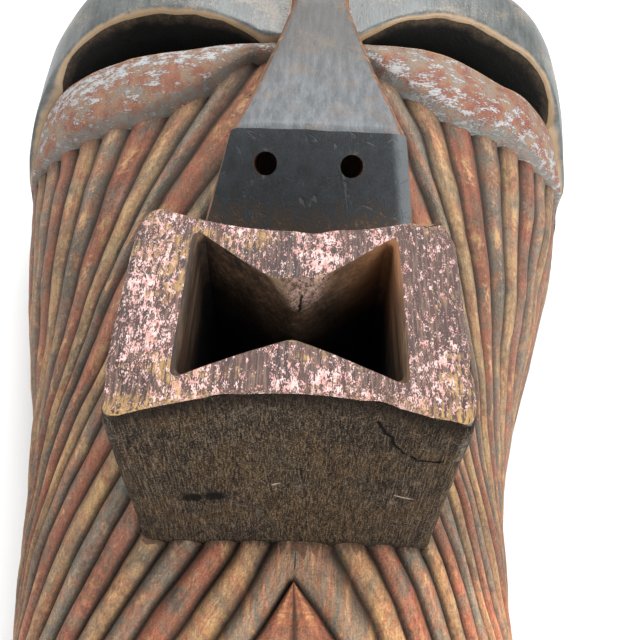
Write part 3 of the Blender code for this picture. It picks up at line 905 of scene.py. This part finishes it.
def weather(bm):
    bm.normal_update()
    for turn in range(3):
        roundEdges(bm)
    for vert in bm.verts:
        spot = vert.co.copy()
        if spot.z < plainRim["height"]:
            vert.co.x -= math.copysign(plainRim["inset"], spot.x)
            continue
        rough = roughness(spot, wear["broad"]) + roughness(spot, wear["fine"])
        for place, radius, knock in wear["knocks"]:
            reach = (spot - Vector(place)).length / radius
            if reach < 1.0:
                rough += knock * (1.0 - reach * reach)
        vert.co -= vert.normal * rough * min(1.0, spot.z / plainRim["fade"])
        limit = tipLimit(vert.co)
        if limit is not None and vert.co.y < limit:
            vert.co.y = limit
    low, high = (Vector(corner) for corner in solidBox)
    spare = wear["boxSpare"]
    for vert in bm.verts:
        # the rim stays on the ground
        vert.co = [min(max(at, a + spare * (a != 0.0)), b - spare) for at, a, b in zip(vert.co, low, high)]
    bm.normal_update()


survey = {"curve": 260.0, "rays": 10, "turn": 2.399963, "start": 0.0004, "reach": 0.016, "fall": 0.020}


def smoothed(values, rings, turns):
    for turn in range(turns):
        means = [sum(values[i] for i in ring) / len(ring) for ring in rings]
        values = [0.5 * value + 0.5 * mean for value, mean in zip(values, means)]
    return values


def closedIn(tree, vert):
    # how much of the room in front of a place is blocked
    side = vert.normal.orthogonal()
    across = vert.normal.cross(side)
    start = vert.co + vert.normal * survey["start"]
    blocked = 0.0
    for i in range(survey["rays"]):
        turn = survey["turn"] * i
        lean = math.sqrt((i + 0.5) / survey["rays"])
        way = vert.normal * math.sqrt(1.0 - lean * lean * 0.96)
        way += (side * math.cos(turn) + across * math.sin(turn)) * lean
        distance = tree.ray_cast(start, way, survey["reach"])[3]
        if distance is not None:
            blocked += 1.0 - distance / survey["fall"]
    return blocked / survey["rays"]


def measureSurface(bm):
    # how sharp each place is, how deep it lies in a valley, and how closed in
    rings = [[edge.other_vert(vert).index for edge in vert.link_edges] for vert in bm.verts]
    curves = []
    for vert in bm.verts:
        bend, reach = Vector(), 0.0
        for edge in vert.link_edges:
            step = edge.other_vert(vert).co - vert.co
            bend += step
            reach += step.length_squared
        curves.append(bend.dot(vert.normal) / max(1e-9, reach) / survey["curve"])
    sharp = smoothed([clamp(-curve) for curve in curves], rings, 2)
    valley = smoothed([clamp(curve) for curve in curves], rings, 2)
    tree = BVHTree.FromBMesh(bm)
    return sharp, valley, smoothed([closedIn(tree, vert) for vert in bm.verts], rings, 1)


# where the pink pigment still lies thickest on the mouth: place across and along, reach
pinkPlaces = (
    (-0.0330, -0.1120, 0.007),
    (-0.0345, -0.1210, 0.006),
    (-0.0325, -0.1330, 0.007),
    (-0.0230, -0.1480, 0.008),
    (-0.0330, -0.0990, 0.005),
    (-0.0140, -0.0985, 0.006),
    (0.0050, -0.1050, 0.007),
    (0.0210, -0.1010, 0.004),
    (-0.0010, -0.1440, 0.004),
    (0.0080, -0.1440, 0.005),
    (0.0150, -0.1470, 0.003),
    (0.0250, -0.1500, 0.005),
    (0.0330, -0.1400, 0.006),
    (0.0060, -0.1120, 0.005),
)


def pigmentAt(spot):
    away = (((spot.x - x) ** 2 + 0.5 * (spot.y - y) ** 2) / reach**2 for x, y, reach in pinkPlaces)
    return max(math.exp(-share) for share in away)


middle = [vert.co.x for vert in mask.data.vertices]
shift = -(min(middle) + max(middle)) / 2.0
bm = bmesh.new()
bm.from_mesh(mask.data)
bmesh.ops.translate(bm, verts=bm.verts, vec=(shift, 0.0, 0.0))
tree = KDTree(len(notes))
for i, note in enumerate(notes):
    tree.insert(note[0] + Vector((shift, 0.0, 0.0)), i)
tree.balance()
near = [notes[tree.find(vert.co)[1]] for vert in bm.verts]
weather(bm)
# the closed-in share of each place becomes painted shade in the finishes
sharp, valley, occlusionShade = measureSurface(bm)
for name, values in (
    ("ridge", [note[1] for note in near]),
    ("along", [note[2] for note in near]),
    ("level", [note[3] for note in near]),
    ("sharp", sharp),
    ("valley", valley),
    ("occlusionShade", occlusionShade),
    ("pigment", [pigmentAt(vert.co) for vert in bm.verts]),
):
    layer = bm.verts.layers.float.new(name)
    for vert, value in zip(bm.verts, values):
        vert[layer] = value
bm.to_mesh(mask.data)
print("weathered", len(bm.verts), "vertices, open edges", sum(edge.is_boundary for edge in bm.edges))
bm.free()
mask.data.shade_smooth()
mask.data.set_sharp_from_angle(angle=math.radians(40.0))


# Finishes. Each is old paint over wood, mixed from the shared effects below.


def paint(code):
    parts = [int(code[i : i + 2], 16) / 255.0 for i in (1, 3, 5)]
    linear = [part / 12.92 if part <= 0.04045 else ((part + 0.055) / 1.055) ** 2.4 for part in parts]
    return (*linear, 1.0)


class Signal:
    # one output in a node tree, so that masks and tones can be added, scaled and blended
    def __init__(self, tree, socket):
        self.tree = tree
        self.socket = socket

    def __add__(self, other):
        return self.maths("ADD", other)

    def __sub__(self, other):
        return self.maths("SUBTRACT", other)

    def __mul__(self, other):
        return self.maths("MULTIPLY", other)

    def __or__(self, other):
        return self.maths("MAXIMUM", other)

    def maths(self, operation, other=None, clamp=False):
        inputs = {0: self} if other is None else {0: self, 1: other}
        return wire(self.tree, "Math", inputs, operation=operation, use_clamp=clamp)

    def vectors(self, operation, other=None, scale=None, output=0):
        inputs = {i: value for i, value in ((0, self), (1, other), (3, scale)) if value is not None}
        return wire(self.tree, "VectorMath", inputs, output, operation=operation)

    def spread(self, low, high, newLow=0.0, newHigh=1.0):
        inputs = {0: self, 1: low, 2: high, 3: newLow, 4: newHigh}
        return wire(self.tree, "MapRange", inputs, interpolation_type="SMOOTHSTEP")

    def noise(self, scale, detail=4.0, rough=0.6, output=0):
        inputs = {"Vector": self, "Scale": scale, "Detail": detail, "Roughness": rough}
        return wire(self.tree, "TexNoise", inputs, output)

    def wobble(self, scale, amount, detail=4.0):
        return (self.noise(scale, detail) - 0.5) * amount

    def siblings(self):
        return [Signal(self.tree, socket) for socket in self.socket.node.outputs]

    def axes(self):
        return wire(self.tree, "SeparateXYZ", {0: self}).siblings()

    def coat(self, amount, colour, mode="MIX"):
        # this colour with another one laid over it
        other = paint(colour) if isinstance(colour, str) else colour
        return wire(self.tree, "Mix", {0: amount, 6: self, 7: other}, 2, data_type="RGBA", blend_type=mode)

    def between(self, first, second):
        # a mask turned into a blend of two colours
        return wire(self.tree, "Mix", {0: self, 6: paint(first), 7: paint(second)}, 2, data_type="RGBA")

    def ramp(self, stops, interpolation="LINEAR"):
        made = wire(self.tree, "ValToRGB", {0: self})
        scale = made.socket.node.color_ramp
        scale.interpolation = interpolation
        scale.elements.remove(scale.elements[1])
        for i, (place, code) in enumerate(stops):
            element = scale.elements.new(place) if i else scale.elements[0]
            element.position = place
            element.color = paint(code)
        return made


def wire(tree, kind, inputs, output=0, **settings):
    # adds a node and gives one of its outputs
    made = tree.nodes.new("ShaderNode" + kind)
    for name, value in settings.items():
        setattr(made, name, value)
    for name, value in inputs.items():
        if isinstance(value, Signal):
            tree.links.new(value.socket, made.inputs[name])
        else:
            made.inputs[name].default_value = value
    return Signal(tree, made.outputs[output])


def attributeOf(tree, name):
    return wire(tree, "Attribute", {}, "Fac", attribute_name=name)


def newGroup(name, outputs, **inputs):
    # an input without a value is a vector
    group = bpy.data.node_groups.new(name, "ShaderNodeTree")
    for label, value in inputs.items():
        kind = "NodeSocketVector" if value is None else "NodeSocketFloat"
        socket = group.interface.new_socket(label, in_out="INPUT", socket_type=kind)
        if value is not None:
            socket.default_value = value
    for label in outputs:
        group.interface.new_socket(label, in_out="OUTPUT", socket_type="NodeSocketFloat")
    start, end = group.nodes.new("NodeGroupInput"), group.nodes.new("NodeGroupOutput")
    given = {label: Signal(group, start.outputs[label]) for label in inputs}
    return group, given, end.inputs


def deliver(signal, socket):
    signal.tree.links.new(signal.socket, socket)


def effect(group, spot, **inputs):
    return wire(spot.tree, "Group", {"Vector": spot, **inputs}, node_tree=group)


# long wood fibres along the vector's second axis
fibreGroup, given, result = newGroup(
    "woodFibres", ("Fibre", "Streak"), Vector=None, Closeness=900.0, Stretch=0.08
)
across = given["Closeness"]
scales = wire(fibreGroup, "CombineXYZ", {0: across, 1: across * given["Stretch"], 2: across})
close = given["Vector"].vectors("MULTIPLY", scales)
deliver(close.noise(1.0, 3.0, 0.7), result["Fibre"])
deliver(close.vectors("SCALE", scale=0.2).noise(1.0, 4.0, 0.65), result["Streak"])

# flakes of pigment that gather in patches
flakeGroup, given, result = newGroup(
    "pigmentFlakes", ("Mask",), Vector=None, Closeness=700.0, Patches=60.0, Cover=0.4, Softness=0.04
)
flaked = given["Vector"].noise(given["Closeness"], 5.0, 0.65)
gathered = given["Vector"].noise(given["Patches"], 3.0, 0.55)
bareBelow = given["Cover"] * -0.5 + 1.0
deliver(((flaked + gathered) * 0.75).spread(bareBelow, bareBelow + given["Softness"]), result["Mask"])

# paint rubbed off where the carving is sharp
rubGroup, given, result = newGroup("rubbedEdges", ("Mask",), Vector=None, Amount=1.0, Closeness=180.0)
uneven = (given["Vector"].noise(given["Closeness"], 5.0, 0.7) - 0.5) * 0.9
deliver((attributeOf(rubGroup, "sharp") * given["Amount"] + uneven).spread(0.28, 0.5), result["Mask"])

# painted shade: darker in valleys and in closed-in corners, where the mask shades itself
shadeGroup, given, result = newGroup("paintedShade", ("Mask",), Vector=None, Amount=1.0)
uneven = given["Vector"].noise(90.0, 5.0, 0.65) + 0.5
shadeAmount = (attributeOf(shadeGroup, "valley") + attributeOf(shadeGroup, "occlusionShade")) * given["Amount"] * uneven
deliver(shadeAmount.spread(0.12, 0.95), result["Mask"])

# a mark along a straight line: a crack, a dent or a worn edge
lineGroup, given, result = newGroup(
    "lineMark", ("Mask",), Vector=None, Start=None, End=None, Width=0.0005, Waver=0.001
)
wavering = given["Vector"].noise(320.0, 3.0, 0.5, 1).vectors("SUBTRACT", (0.5, 0.5, 0.5))
away = given["Vector"].vectors("SUBTRACT", given["Start"])
away = away.vectors("ADD", wavering.vectors("SCALE", scale=given["Waver"]))
span = given["End"].vectors("SUBTRACT", given["Start"])
share = away.vectors("DOT_PRODUCT", span, output=1)
share = share.maths("DIVIDE", span.vectors("DOT_PRODUCT", span, output=1), clamp=True)
away = away.vectors("DISTANCE", span.vectors("SCALE", scale=share), output=1)
deliver(away.spread(given["Width"], given["Width"] * 0.4), result["Mask"])

# hair-thin scratches that run in several directions over the slanting undersides
scratchGroup, given, result = newGroup("scratches", ("Mask",), Vector=None, Closeness=150.0)
scratched = None
for degrees in (12.0, 68.0, 125.0):
    cosine, sine = math.cos(math.radians(degrees)), math.sin(math.radians(degrees))
    over = given["Vector"].vectors("DOT_PRODUCT", (cosine, 0.6 * sine, 0.8 * sine), output=1)
    down = given["Vector"].vectors("DOT_PRODUCT", (-0.07 * sine, 0.042 * cosine, 0.056 * cosine), output=1)
    turned = wire(scratchGroup, "CombineXYZ", {0: over, 1: down, 2: degrees})
    hair = (turned.noise(given["Closeness"], 1.0, 0.5) - 0.5).maths("ABSOLUTE").spread(0.010, 0.002)
    scratched = hair if scratched is None else scratched | hair
faint = given["Vector"].noise(260.0, 2.0).spread(0.48, 0.62)
deliver(scratched * faint, result["Mask"])


def fibres(spot, closeness, stretch=0.08):
    return effect(fibreGroup, spot, Closeness=closeness, Stretch=stretch).siblings()


def flakes(spot, closeness, patches, cover, softness):
    return effect(flakeGroup, spot, Closeness=closeness, Patches=patches, Cover=cover, Softness=softness)


# lays the painted shade of valleys and closed-in corners over a colour
def withPaintedShade(colour, spot, amount, strength, shadeColour):
    return colour.coat(effect(shadeGroup, spot, Amount=amount) * strength, shadeColour)


def lineMark(spot, start, end, width, waver):
    return effect(lineGroup, spot, Start=start, End=end, Width=width, Waver=waver)


def startFinish(name):
    material = bpy.data.materials.new(name)
    material.use_nodes = True
    return material, wire(material.node_tree, "TexCoord", {}, "Object")


def endFinish(material, colour, height, depth, rough, sheen=0.4):
    shader = material.node_tree.nodes["Principled BSDF"].inputs
    bump = wire(material.node_tree, "Bump", {"Height": height, "Strength": 0.8, "Distance": depth})
    for signal, socket in ((colour, "Base Color"), (rough, "Roughness"), (bump, "Normal")):
        deliver(signal, shader[socket])
    shader["Specular IOR Level"].default_value = sheen
    return material


def paintRidges():
    material, spot = startFinish("paintedRidges")
    ridge, along = (attributeOf(spot.tree, name) for name in ("ridge", "along"))
    # the pattern follows each ridge: across it, then along it
    run = wire(spot.tree, "CombineXYZ", {0: ridge * 0.010, 1: along * 0.16})
    counted = (ridge + spot.wobble(140.0, 0.3, 3.0)).maths("FLOOR").maths("MODULO", 3.0)
    third = (counted + 0.5).maths("DIVIDE", 3.0)
    stripes = third.ramp(((0.0, "#9c8160"), (0.333, "#6c665c"), (0.667, "#8f5a48")), "CONSTANT")
    # the old colours have bled into one another along each ridge
    drift = run.noise(75.0, 4.0, 0.65)
    bled = drift.ramp(((0.36, "#5f5c54"), (0.46, "#7b6552"), (0.54, "#8c5c49"), (0.64, "#a8875f")))
    fibre, streak = fibres(run, 900.0, 0.07)
    upright = fibres(spot, 1700.0, 0.07)[0]
    speckle = spot.noise(1900.0, 3.0, 0.7)
    crest = (ridge.maths("FRACT") * 2.0 - 1.0).maths("ABSOLUTE")
    # painted shade across each ridge: lighter on the crest and darker towards the valleys, multiplied into
    # the grain
    grainAndShade = streak.spread(0.25, 0.75, 0.6, 1.3) * upright.spread(0.3, 0.7, 0.78, 1.18)
    grainAndShade = grainAndShade * speckle.spread(0.3, 0.7, 0.8, 1.2) * crest.spread(0.0, 0.8, 1.14, 0.84)
    # painted light: the chin is made lighter and warmer, more so towards the right, where the mouth box
    # shades it
    x, y, z = spot.axes()
    chin = y.spread(-0.145, -0.17) * x.spread(-0.05, 0.03, 0.4, 1.0)
    chinLight = {i: grainAndShade * chin.spread(0.0, 1.0, 1.0, most) for i, most in enumerate((1.9, 1.68, 1.5))}
    litTones = wire(spot.tree, "CombineColor", chinLight)
    smear = run.noise(130.0, 4.0, 0.7).spread(0.38, 0.6, 0.15, 0.85)
    colour = stripes.coat(smear, bled).coat(1.0, litTones, "MULTIPLY")
    # lighter tan on the crests: worn paint and a painted highlight
    high = crest.spread(0.1, 0.7, 1.0, 0.0) * 0.62
    colour = colour.coat(flakes(run, 700.0, 110.0, 0.42, 0.14) * high, "#caa073")
    colour = colour.coat(flakes(spot, 420.0, 60.0, 0.52, 0.22) * 0.45, "#3d3833")
    colour = colour.coat(flakes(spot, 900.0, 45.0, 0.38, 0.2) * 0.35, "#968c80")
    # dark from handling down to the rim
    handled = along + spot.noise(60.0) * 0.2
    colour = colour.coat(handled.spread(1.1, 1.4, 0.0, 0.6), "#3a2d25")
    # painted shade, dark at the valley bottoms between the ridges and in closed-in corners
    colour = colour.coat(crest.spread(0.66, 1.0) * 0.85, "#2b231e")
    colour = withPaintedShade(colour, spot, 0.85, 0.8, "#1c1714")
    height = fibre + upright * 0.8 + speckle
    return endFinish(material, colour, height, 0.0006, streak.spread(0.2, 0.8, 0.52, 0.78), 0.2)


def plainWood(name, dark, light, closeness=900.0, rub=None, rough=(0.6, 0.88), contrast=0.35):
    material, spot = startFinish(name)
    fibre, streak = fibres(spot, closeness)
    colour = streak.spread(0.3, 0.72).between(dark, light)
    colour = colour.coat(fibre.spread(0.4, 0.62, 0.0, contrast), dark)
    colour = colour.coat(fibre.spread(0.5, 0.3, 0.0, contrast), light)
    if rub:
        colour = colour.coat(effect(rubGroup, spot, Amount=1.3), rub)
    # painted shade in valleys and closed-in corners
    colour = withPaintedShade(colour, spot, 0.9, 0.8, "#15110e")
    return material, spot, fibre, streak, colour, streak.spread(0.2, 0.8, *rough)


def plainFinish(name, dark, light, depth=0.0005, **settings):
    material, spot, fibre, streak, colour, gloss = plainWood(name, dark, light, **settings)
    return endFinish(material, colour, fibre, depth, gloss)


def paintSlit():
    material, spot, fibre, streak, colour, gloss = plainWood(
        "slitWood", "#2b241c", "#5a4b3a", rub="#8a7254", contrast=0.5
    )
    # painted shade: near black further into the pocket
    deep = (attributeOf(spot.tree, "along") + spot.wobble(130.0, 0.12)).spread(0.03, 0.17)
    return endFinish(material, colour.coat(deep, "#070504"), fibre, 0.0006, gloss, 0.3)


def paintBore():
    material, spot, fibre, streak, colour, gloss = plainWood(
        "mouthInside", "#2b211a", "#6b5039", rub="#6f5a45", contrast=0.6
    )
    x, y, z = spot.axes()
    # warmer wood towards the upper right corner
    colour = colour.coat(x.spread(0.006, 0.024) * y.spread(-0.13, -0.105) * 0.6, "#8f5f3b")
    # painted shade: near black deeper inside the mouth
    deep = (z + spot.wobble(110.0, 0.016)).spread(mouth["front"] - 0.006, mouth["front"] - 0.03)
    colour = colour.coat(deep, "#070504")
    # paler wood where the tip of the upper notch has broken off
    bare = fibre.spread(0.42, 0.58).between("#3f332b", "#8b7464")
    bare = bare.coat(flakes(spot, 3800.0, 1100.0, 0.5, 0.08) * 0.6, "#cda49c")
    tip = lineMark(spot, (0.0022, -0.1155, 0.156), (0.0026, -0.1172, 0.1505), 0.0075, 0.006)
    colour = colour.coat(tip * 0.8, bare)
    colour = colour.coat(marked(spot, "tipCracks", 0.0006, 0.002), "#0b0908")
    return endFinish(material, colour, fibre, 0.0008, gloss, 0.3)


def paintBand():
    material, spot = startFinish("eyeBand")
    level = attributeOf(spot.tree, "level")
    fibre, streak = fibres(spot, 1500.0, 0.15)
    colour = spot.noise(110.0, 5.0, 0.7).spread(0.42, 0.58).between("#784534", "#80634a")
    colour = colour.coat(flakes(spot, 700.0, 110.0, 0.5, 0.12) * 0.6, "#6f7270")
    colour = colour.coat(streak.spread(0.35, 0.75, 0.0, 0.5), "#9c7658")
    # on the left the white lies along the slit, on the right along the foot
    onLeft = level.spread(0.3, 0.8, 0.42, 0.62)
    onRight = level.spread(0.15, 0.7, 0.54, 0.42)
    cover = wire(spot.tree, "Mix", {0: spot.axes()[0].spread(-0.01, 0.01), 2: onLeft, 3: onRight})
    chalk = flakes(spot.vectors("MULTIPLY", (0.4, 1.0, 1.0)), 1900.0, 380.0, cover, 0.09)
    colour = colour.coat(chalk * 0.75, "#aeb3b6")
    uneven = level + spot.wobble(150.0, 0.12)
    patchy = spot.noise(190.0, 5.0, 0.7).spread(0.38, 0.56, 0.35, 1.0)
    colour = colour.coat(uneven.spread(0.11, 0.05, 0.0, 0.7) * patchy, "#7b7f7b")
    colour = colour.coat(uneven.spread(0.95, 0.99) * 0.8, "#a98459")
    # painted shade in valleys and closed-in corners
    colour = withPaintedShade(colour, spot, 0.8, 0.7, "#2a211b")
    return endFinish(material, colour, fibre + chalk * 0.6, 0.0005, streak.spread(0.2, 0.8, 0.5, 0.75))


def paintLid():
    material, spot = startFinish("eyeLid")
    fibre, streak = fibres(spot, 1500.0, 0.1)
    colour = streak.spread(0.25, 0.75).between("#333837", "#5b605f")
    colour = colour.coat(flakes(spot, 900.0, 70.0, 0.46, 0.15) * 0.5, "#8c7d69")
    uneven = attributeOf(spot.tree, "level") + spot.wobble(170.0, 0.14)
    # a thin tan line along the lid's lower edge: worn wood and a painted highlight
    colour = colour.coat(uneven.spread(1.1, 1.01) * 0.8, "#a78a66")
    # painted shade in valleys and closed-in corners
    colour = withPaintedShade(colour, spot, 0.7, 0.7, "#211d1a")
    return endFinish(material, colour, fibre, 0.0003, streak.spread(0.2, 0.8, 0.32, 0.48), 0.65)


def paintMouth():
    material, spot = startFinish("mouthFront")
    fibre, streak = fibres(spot, 1600.0, 0.06)
    colour = streak.spread(0.3, 0.7).between("#33292b", "#5a443e")
    colour = colour.coat(fibre.spread(0.47, 0.62, 0.0, 0.5), "#8c7362")
    # pink pigment, in upright flakes
    cover = attributeOf(spot.tree, "pigment").spread(0.0, 1.0, 0.385, 0.6)
    pink = flakes(spot.vectors("MULTIPLY", (1.0, 0.42, 1.0)), 4000.0, 1000.0, cover, 0.07)
    shade = spot.noise(500.0).spread(0.4, 0.6).between("#cb9891", "#e6c3be")
    colour = colour.coat(pink * 0.95, shade)
    # bare ochre wood at worn edges and along the lower lip
    lower = (spot.axes()[1] + streak * 0.012).spread(-0.1385, -0.1465) * 0.95
    worn = flakes(spot, 260.0, 80.0, 0.4, 0.12) * 0.8
    bare = (effect(rubGroup, spot, Amount=1.35, Closeness=140.0) | worn | lower) * fibre.spread(0.42, 0.54)
    colour = colour.coat(bare, "#b28e58")
    # painted shade in valleys and closed-in corners
    colour = withPaintedShade(colour, spot, 0.6, 0.7, "#1c1515")
    return endFinish(material, colour, fibre + pink * 0.6, 0.0006, streak.spread(0.2, 0.8, 0.55, 0.8))


# old damage in and under the mouth: lines of points, in part coordinates
marks = {
    "crack": (
        (
            (0.0190, -0.1487, 0.1464),
            (0.0206, -0.1492, 0.1439),
            (0.0224, -0.1499, 0.1414),
            (0.0240, -0.1505, 0.1384),
            (0.0263, -0.1512, 0.1360),
            (0.0298, -0.1515, 0.1342),
            (0.0345, -0.1532, 0.1360),
        ),
    ),
    "centre": (
        (
            (0.0023, -0.1500, 0.1246),
            (0.0032, -0.1509, 0.1180),
            (0.0039, -0.1518, 0.1112),
            (0.0043, -0.1528, 0.1040),
        ),
    ),
    "tipCracks": (
        ((0.0080, -0.1150, 0.1545), (0.0072, -0.1165, 0.1500)),
        ((0.0012, -0.1170, 0.1500), (0.0010, -0.1180, 0.1450)),
    ),
    "dents": (
        ((-0.0252, -0.1525, 0.1115), (-0.0238, -0.1525, 0.1116)),
        ((-0.0196, -0.1520, 0.1119), (-0.0182, -0.1520, 0.1121)),
    ),
    "scrapes": (
        ((-0.0044, -0.1511, 0.1175), (-0.0005, -0.1508, 0.1193)),
        ((0.0261, -0.1524, 0.1159), (0.0312, -0.1520, 0.1149)),
    ),
}


def marked(spot, name, width, waver):
    # the part's y counts little, so that a mark lies on whatever surface is there
    flatten = 0.25
    flat = spot.vectors("MULTIPLY", (1.0, flatten, 1.0))
    found = None
    for line in marks[name]:
        points = [(x, flatten * y, z) for x, y, z in line]
        for start, end in zip(points, points[1:]):
            mark = lineMark(flat, start, end, width, waver)
            found = mark if found is None else found | mark
    return found


def paintUnderside():
    material, spot = startFinish("mouthSide")
    x, y, z = spot.axes()
    # the grain of the box runs up to its front
    upright = wire(spot.tree, "CombineXYZ", {0: x, 1: z, 2: y})
    fibre, streak = fibres(upright, 3000.0, 0.05)
    speckle = spot.noise(2500.0, 2.0, 0.8)
    patches = upright.noise(60.0, 5.0, 0.65)
    colour = patches.spread(0.4, 0.62).between("#2b2621", "#4f3e2b")
    colour = colour.coat(streak.spread(0.42, 0.62, 0.0, 0.8), "#27211c")
    colour = colour.coat(patches.spread(0.5, 0.64, 0.0, 0.55), "#100d0b")
    colour = colour.coat(speckle.spread(0.5, 0.62, 0.0, 0.6), "#0a0706")
    colour = colour.coat(speckle.spread(0.46, 0.37, 0.0, 0.5), "#826e57")
    colour = colour.coat(fibre.spread(0.53, 0.63, 0.0, 0.4), "#7d6a54")
    colour = colour.coat(fibre.spread(0.46, 0.37, 0.0, 0.7), "#0d0a09")
    # painted shadow: a dark band on the underside just behind the front edge
    edge = (z + patches * 0.008).spread(mouth["front"] - 0.006, mouth["front"] + 0.003, 0.0, 0.85)
    colour = colour.coat(edge, "#120e0c")
    colour = colour.coat(effect(rubGroup, spot, Amount=1.1) * 0.7, "#857b70")
    scratched = effect(scratchGroup, spot, Closeness=210.0)
    colour = colour.coat(marked(spot, "scrapes", 0.0004, 0.0018) * 0.7 | scratched * 0.12, "#a99b8a")
    dark = marked(spot, "dents", 0.0026, 0.0006) * 0.95 | marked(spot, "crack", 0.0006, 0.0022)
    dark = dark | marked(spot, "centre", 0.0003, 0.002) * 0.5
    colour = colour.coat(dark, "#0b0908")
    # painted shade in valleys and closed-in corners
    colour = withPaintedShade(colour, spot, 0.9, 0.8, "#15110e")
    height = fibre + speckle - dark * 2.0
    return endFinish(material, colour, height, 0.0006, streak.spread(0.2, 0.8, 0.75, 0.95), 0.08)


def paintNoseTop():
    material, spot, fibre, streak, colour, gloss = plainWood(
        "noseTop", "#505356", "#74777a", closeness=2300.0, rub="#8f7f6b", rough=(0.4, 0.58), contrast=0.3
    )
    # handled brown towards the bridge and along the edges
    high = spot.axes()[1] + spot.noise(90.0, 4.0, 0.65) * 0.05
    colour = colour.coat(high.spread(0.0, 0.06, 0.0, 0.65), "#4b463f")
    colour = colour.coat(flakes(spot, 700.0, 120.0, 0.42, 0.12) * 0.4, "#7d6650")
    return endFinish(material, colour, fibre, 0.0004, gloss, 0.45)


def paintNoseUnder():
    material, spot, fibre, streak, colour, gloss = plainWood(
        "noseUnderside", "#191c1f", "#34383c", closeness=1500.0, rub="#56493f"
    )
    # brown wood shows through low down beside the mouth
    low = spot.axes()[2] + streak * 0.02
    colour = colour.coat(low.spread(0.132, 0.1235, 0.0, 0.65), "#42301f")
    colour = colour.coat(low.spread(0.13, 0.124) * fibre.spread(0.52, 0.64, 0.0, 0.3), "#8a6a4c")
    # painted highlight: a lighter strip along the right edge, in place of a narrow facet that catches the
    # light
    edgeX, footZ = nose["shift"] + shift + nose["half"] - 0.001, face["chinHeight"] - 0.5 * face["wall"]
    top, foot = (edgeX, nose["tipY"], nose["tipHeight"]), (edgeX + nose["rightFlare"], -0.0915, footZ)
    colour = colour.coat(lineMark(spot, top, foot, 0.0052, 0.0012) * 0.7, "#6b7073")
    scratched = effect(scratchGroup, spot, Closeness=230.0)
    colour = colour.coat(scratched * 0.3, "#6c6f70")
    return endFinish(material, colour, fibre - scratched, 0.0004, gloss)


finishes = {
    "ridges": paintRidges(),
    "band": paintBand(),
    "lid": paintLid(),
    "slit": paintSlit(),
    "noseTop": paintNoseTop(),
    "noseSide": plainFinish("noseSide", "#47372d", "#8a6047", rub="#9a7a58"),
    "noseUnder": paintNoseUnder(),
    "mouthFront": paintMouth(),
    "mouthSide": paintUnderside(),
    "mouthInside": paintBore(),
    "rim": plainFinish("rimWood", "#2f2419", "#6a523a", rub="#94754f"),
    "hollow": plainFinish("hollowWood", "#2c2017", "#644b33", closeness=600.0, rub="#84664a", depth=0.0008),
    "nostril": plainFinish("nostrilWood", "#4a2c1a", "#8a5a38"),
}
for i, name in enumerate(finishNames):
    mask.data.materials[i] = finishes[name]
print("finishes mixed")

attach(mask, "root")
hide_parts("kifwebe_mask")

# Floor, light and camera
bm = bmesh.new()
bmesh.ops.create_circle(bm, cap_ends=True, segments=64, radius=3.0)
floor = newPiece("floor", bm)
floor.data.materials.clear()
pale = bpy.data.materials.new("paleFloor")
pale.use_nodes = True
shader = pale.node_tree.nodes["Principled BSDF"].inputs
shader["Base Color"].default_value = (0.9, 0.9, 0.9, 1.0)
shader["Roughness"].default_value = 0.9
floor.data.materials.append(pale)

lights = {
    "crown": ((0.1, 0.5, 0.9), 0.7, 11.5),
    "left": ((-0.9, 0.0, 0.7), 0.8, 2.0),
    "right": ((0.75, -0.65, 0.7), 0.7, 7.0),
    "chin": ((0.35, -0.95, 0.3), 0.6, 6.0),
}
aim = Vector((0.0, -0.05, 0.08))
for name, (place, size, power) in lights.items():
    lamp = bpy.data.lights.new(name, "AREA")
    lamp.size = size
    lamp.energy = power
    light = bpy.data.objects.new(name, lamp)
    bpy.context.scene.collection.objects.link(light)
    facing = (Vector(place) - aim).to_track_quat("Z", "Y")
    light.matrix_world = Matrix.Translation(place) @ facing.to_matrix().to_4x4()
world = bpy.data.worlds.new("softRoom")
world.use_nodes = True
background = world.node_tree.nodes["Background"].inputs
background["Color"].default_value = (1.0, 1.0, 1.0, 1.0)
background["Strength"].default_value = 0.7
bpy.context.scene.world = world
bpy.context.scene.view_settings.view_transform = "Standard"

view = {"lean": 36.3, "turn": 1.4, "roll": 1.9, "place": (0.00122, -0.2346, 0.30084), "lens": 45.0}
lean, turn, roll = (math.radians(view[name]) for name in ("lean", "turn", "roll"))
level = math.cos(turn)
ahead = Vector((math.sin(turn), math.sin(lean) * level, -math.cos(lean) * level)).normalized()
right = ahead.cross(Vector((0.0, math.cos(lean), math.sin(lean)))).normalized()
up = right.cross(ahead)
right, up = right * math.cos(roll) + up * math.sin(roll), up * math.cos(roll) - right * math.sin(roll)
lens = bpy.data.cameras.new("camera")
lens.lens = view["lens"]
lens.clip_start = 0.01
camera = bpy.data.objects.new("camera", lens)
bpy.context.scene.collection.objects.link(camera)
camera.matrix_world = Matrix.Translation(view["place"]) @ Matrix((right, up, -ahead)).transposed().to_4x4()
bpy.context.scene.camera = camera
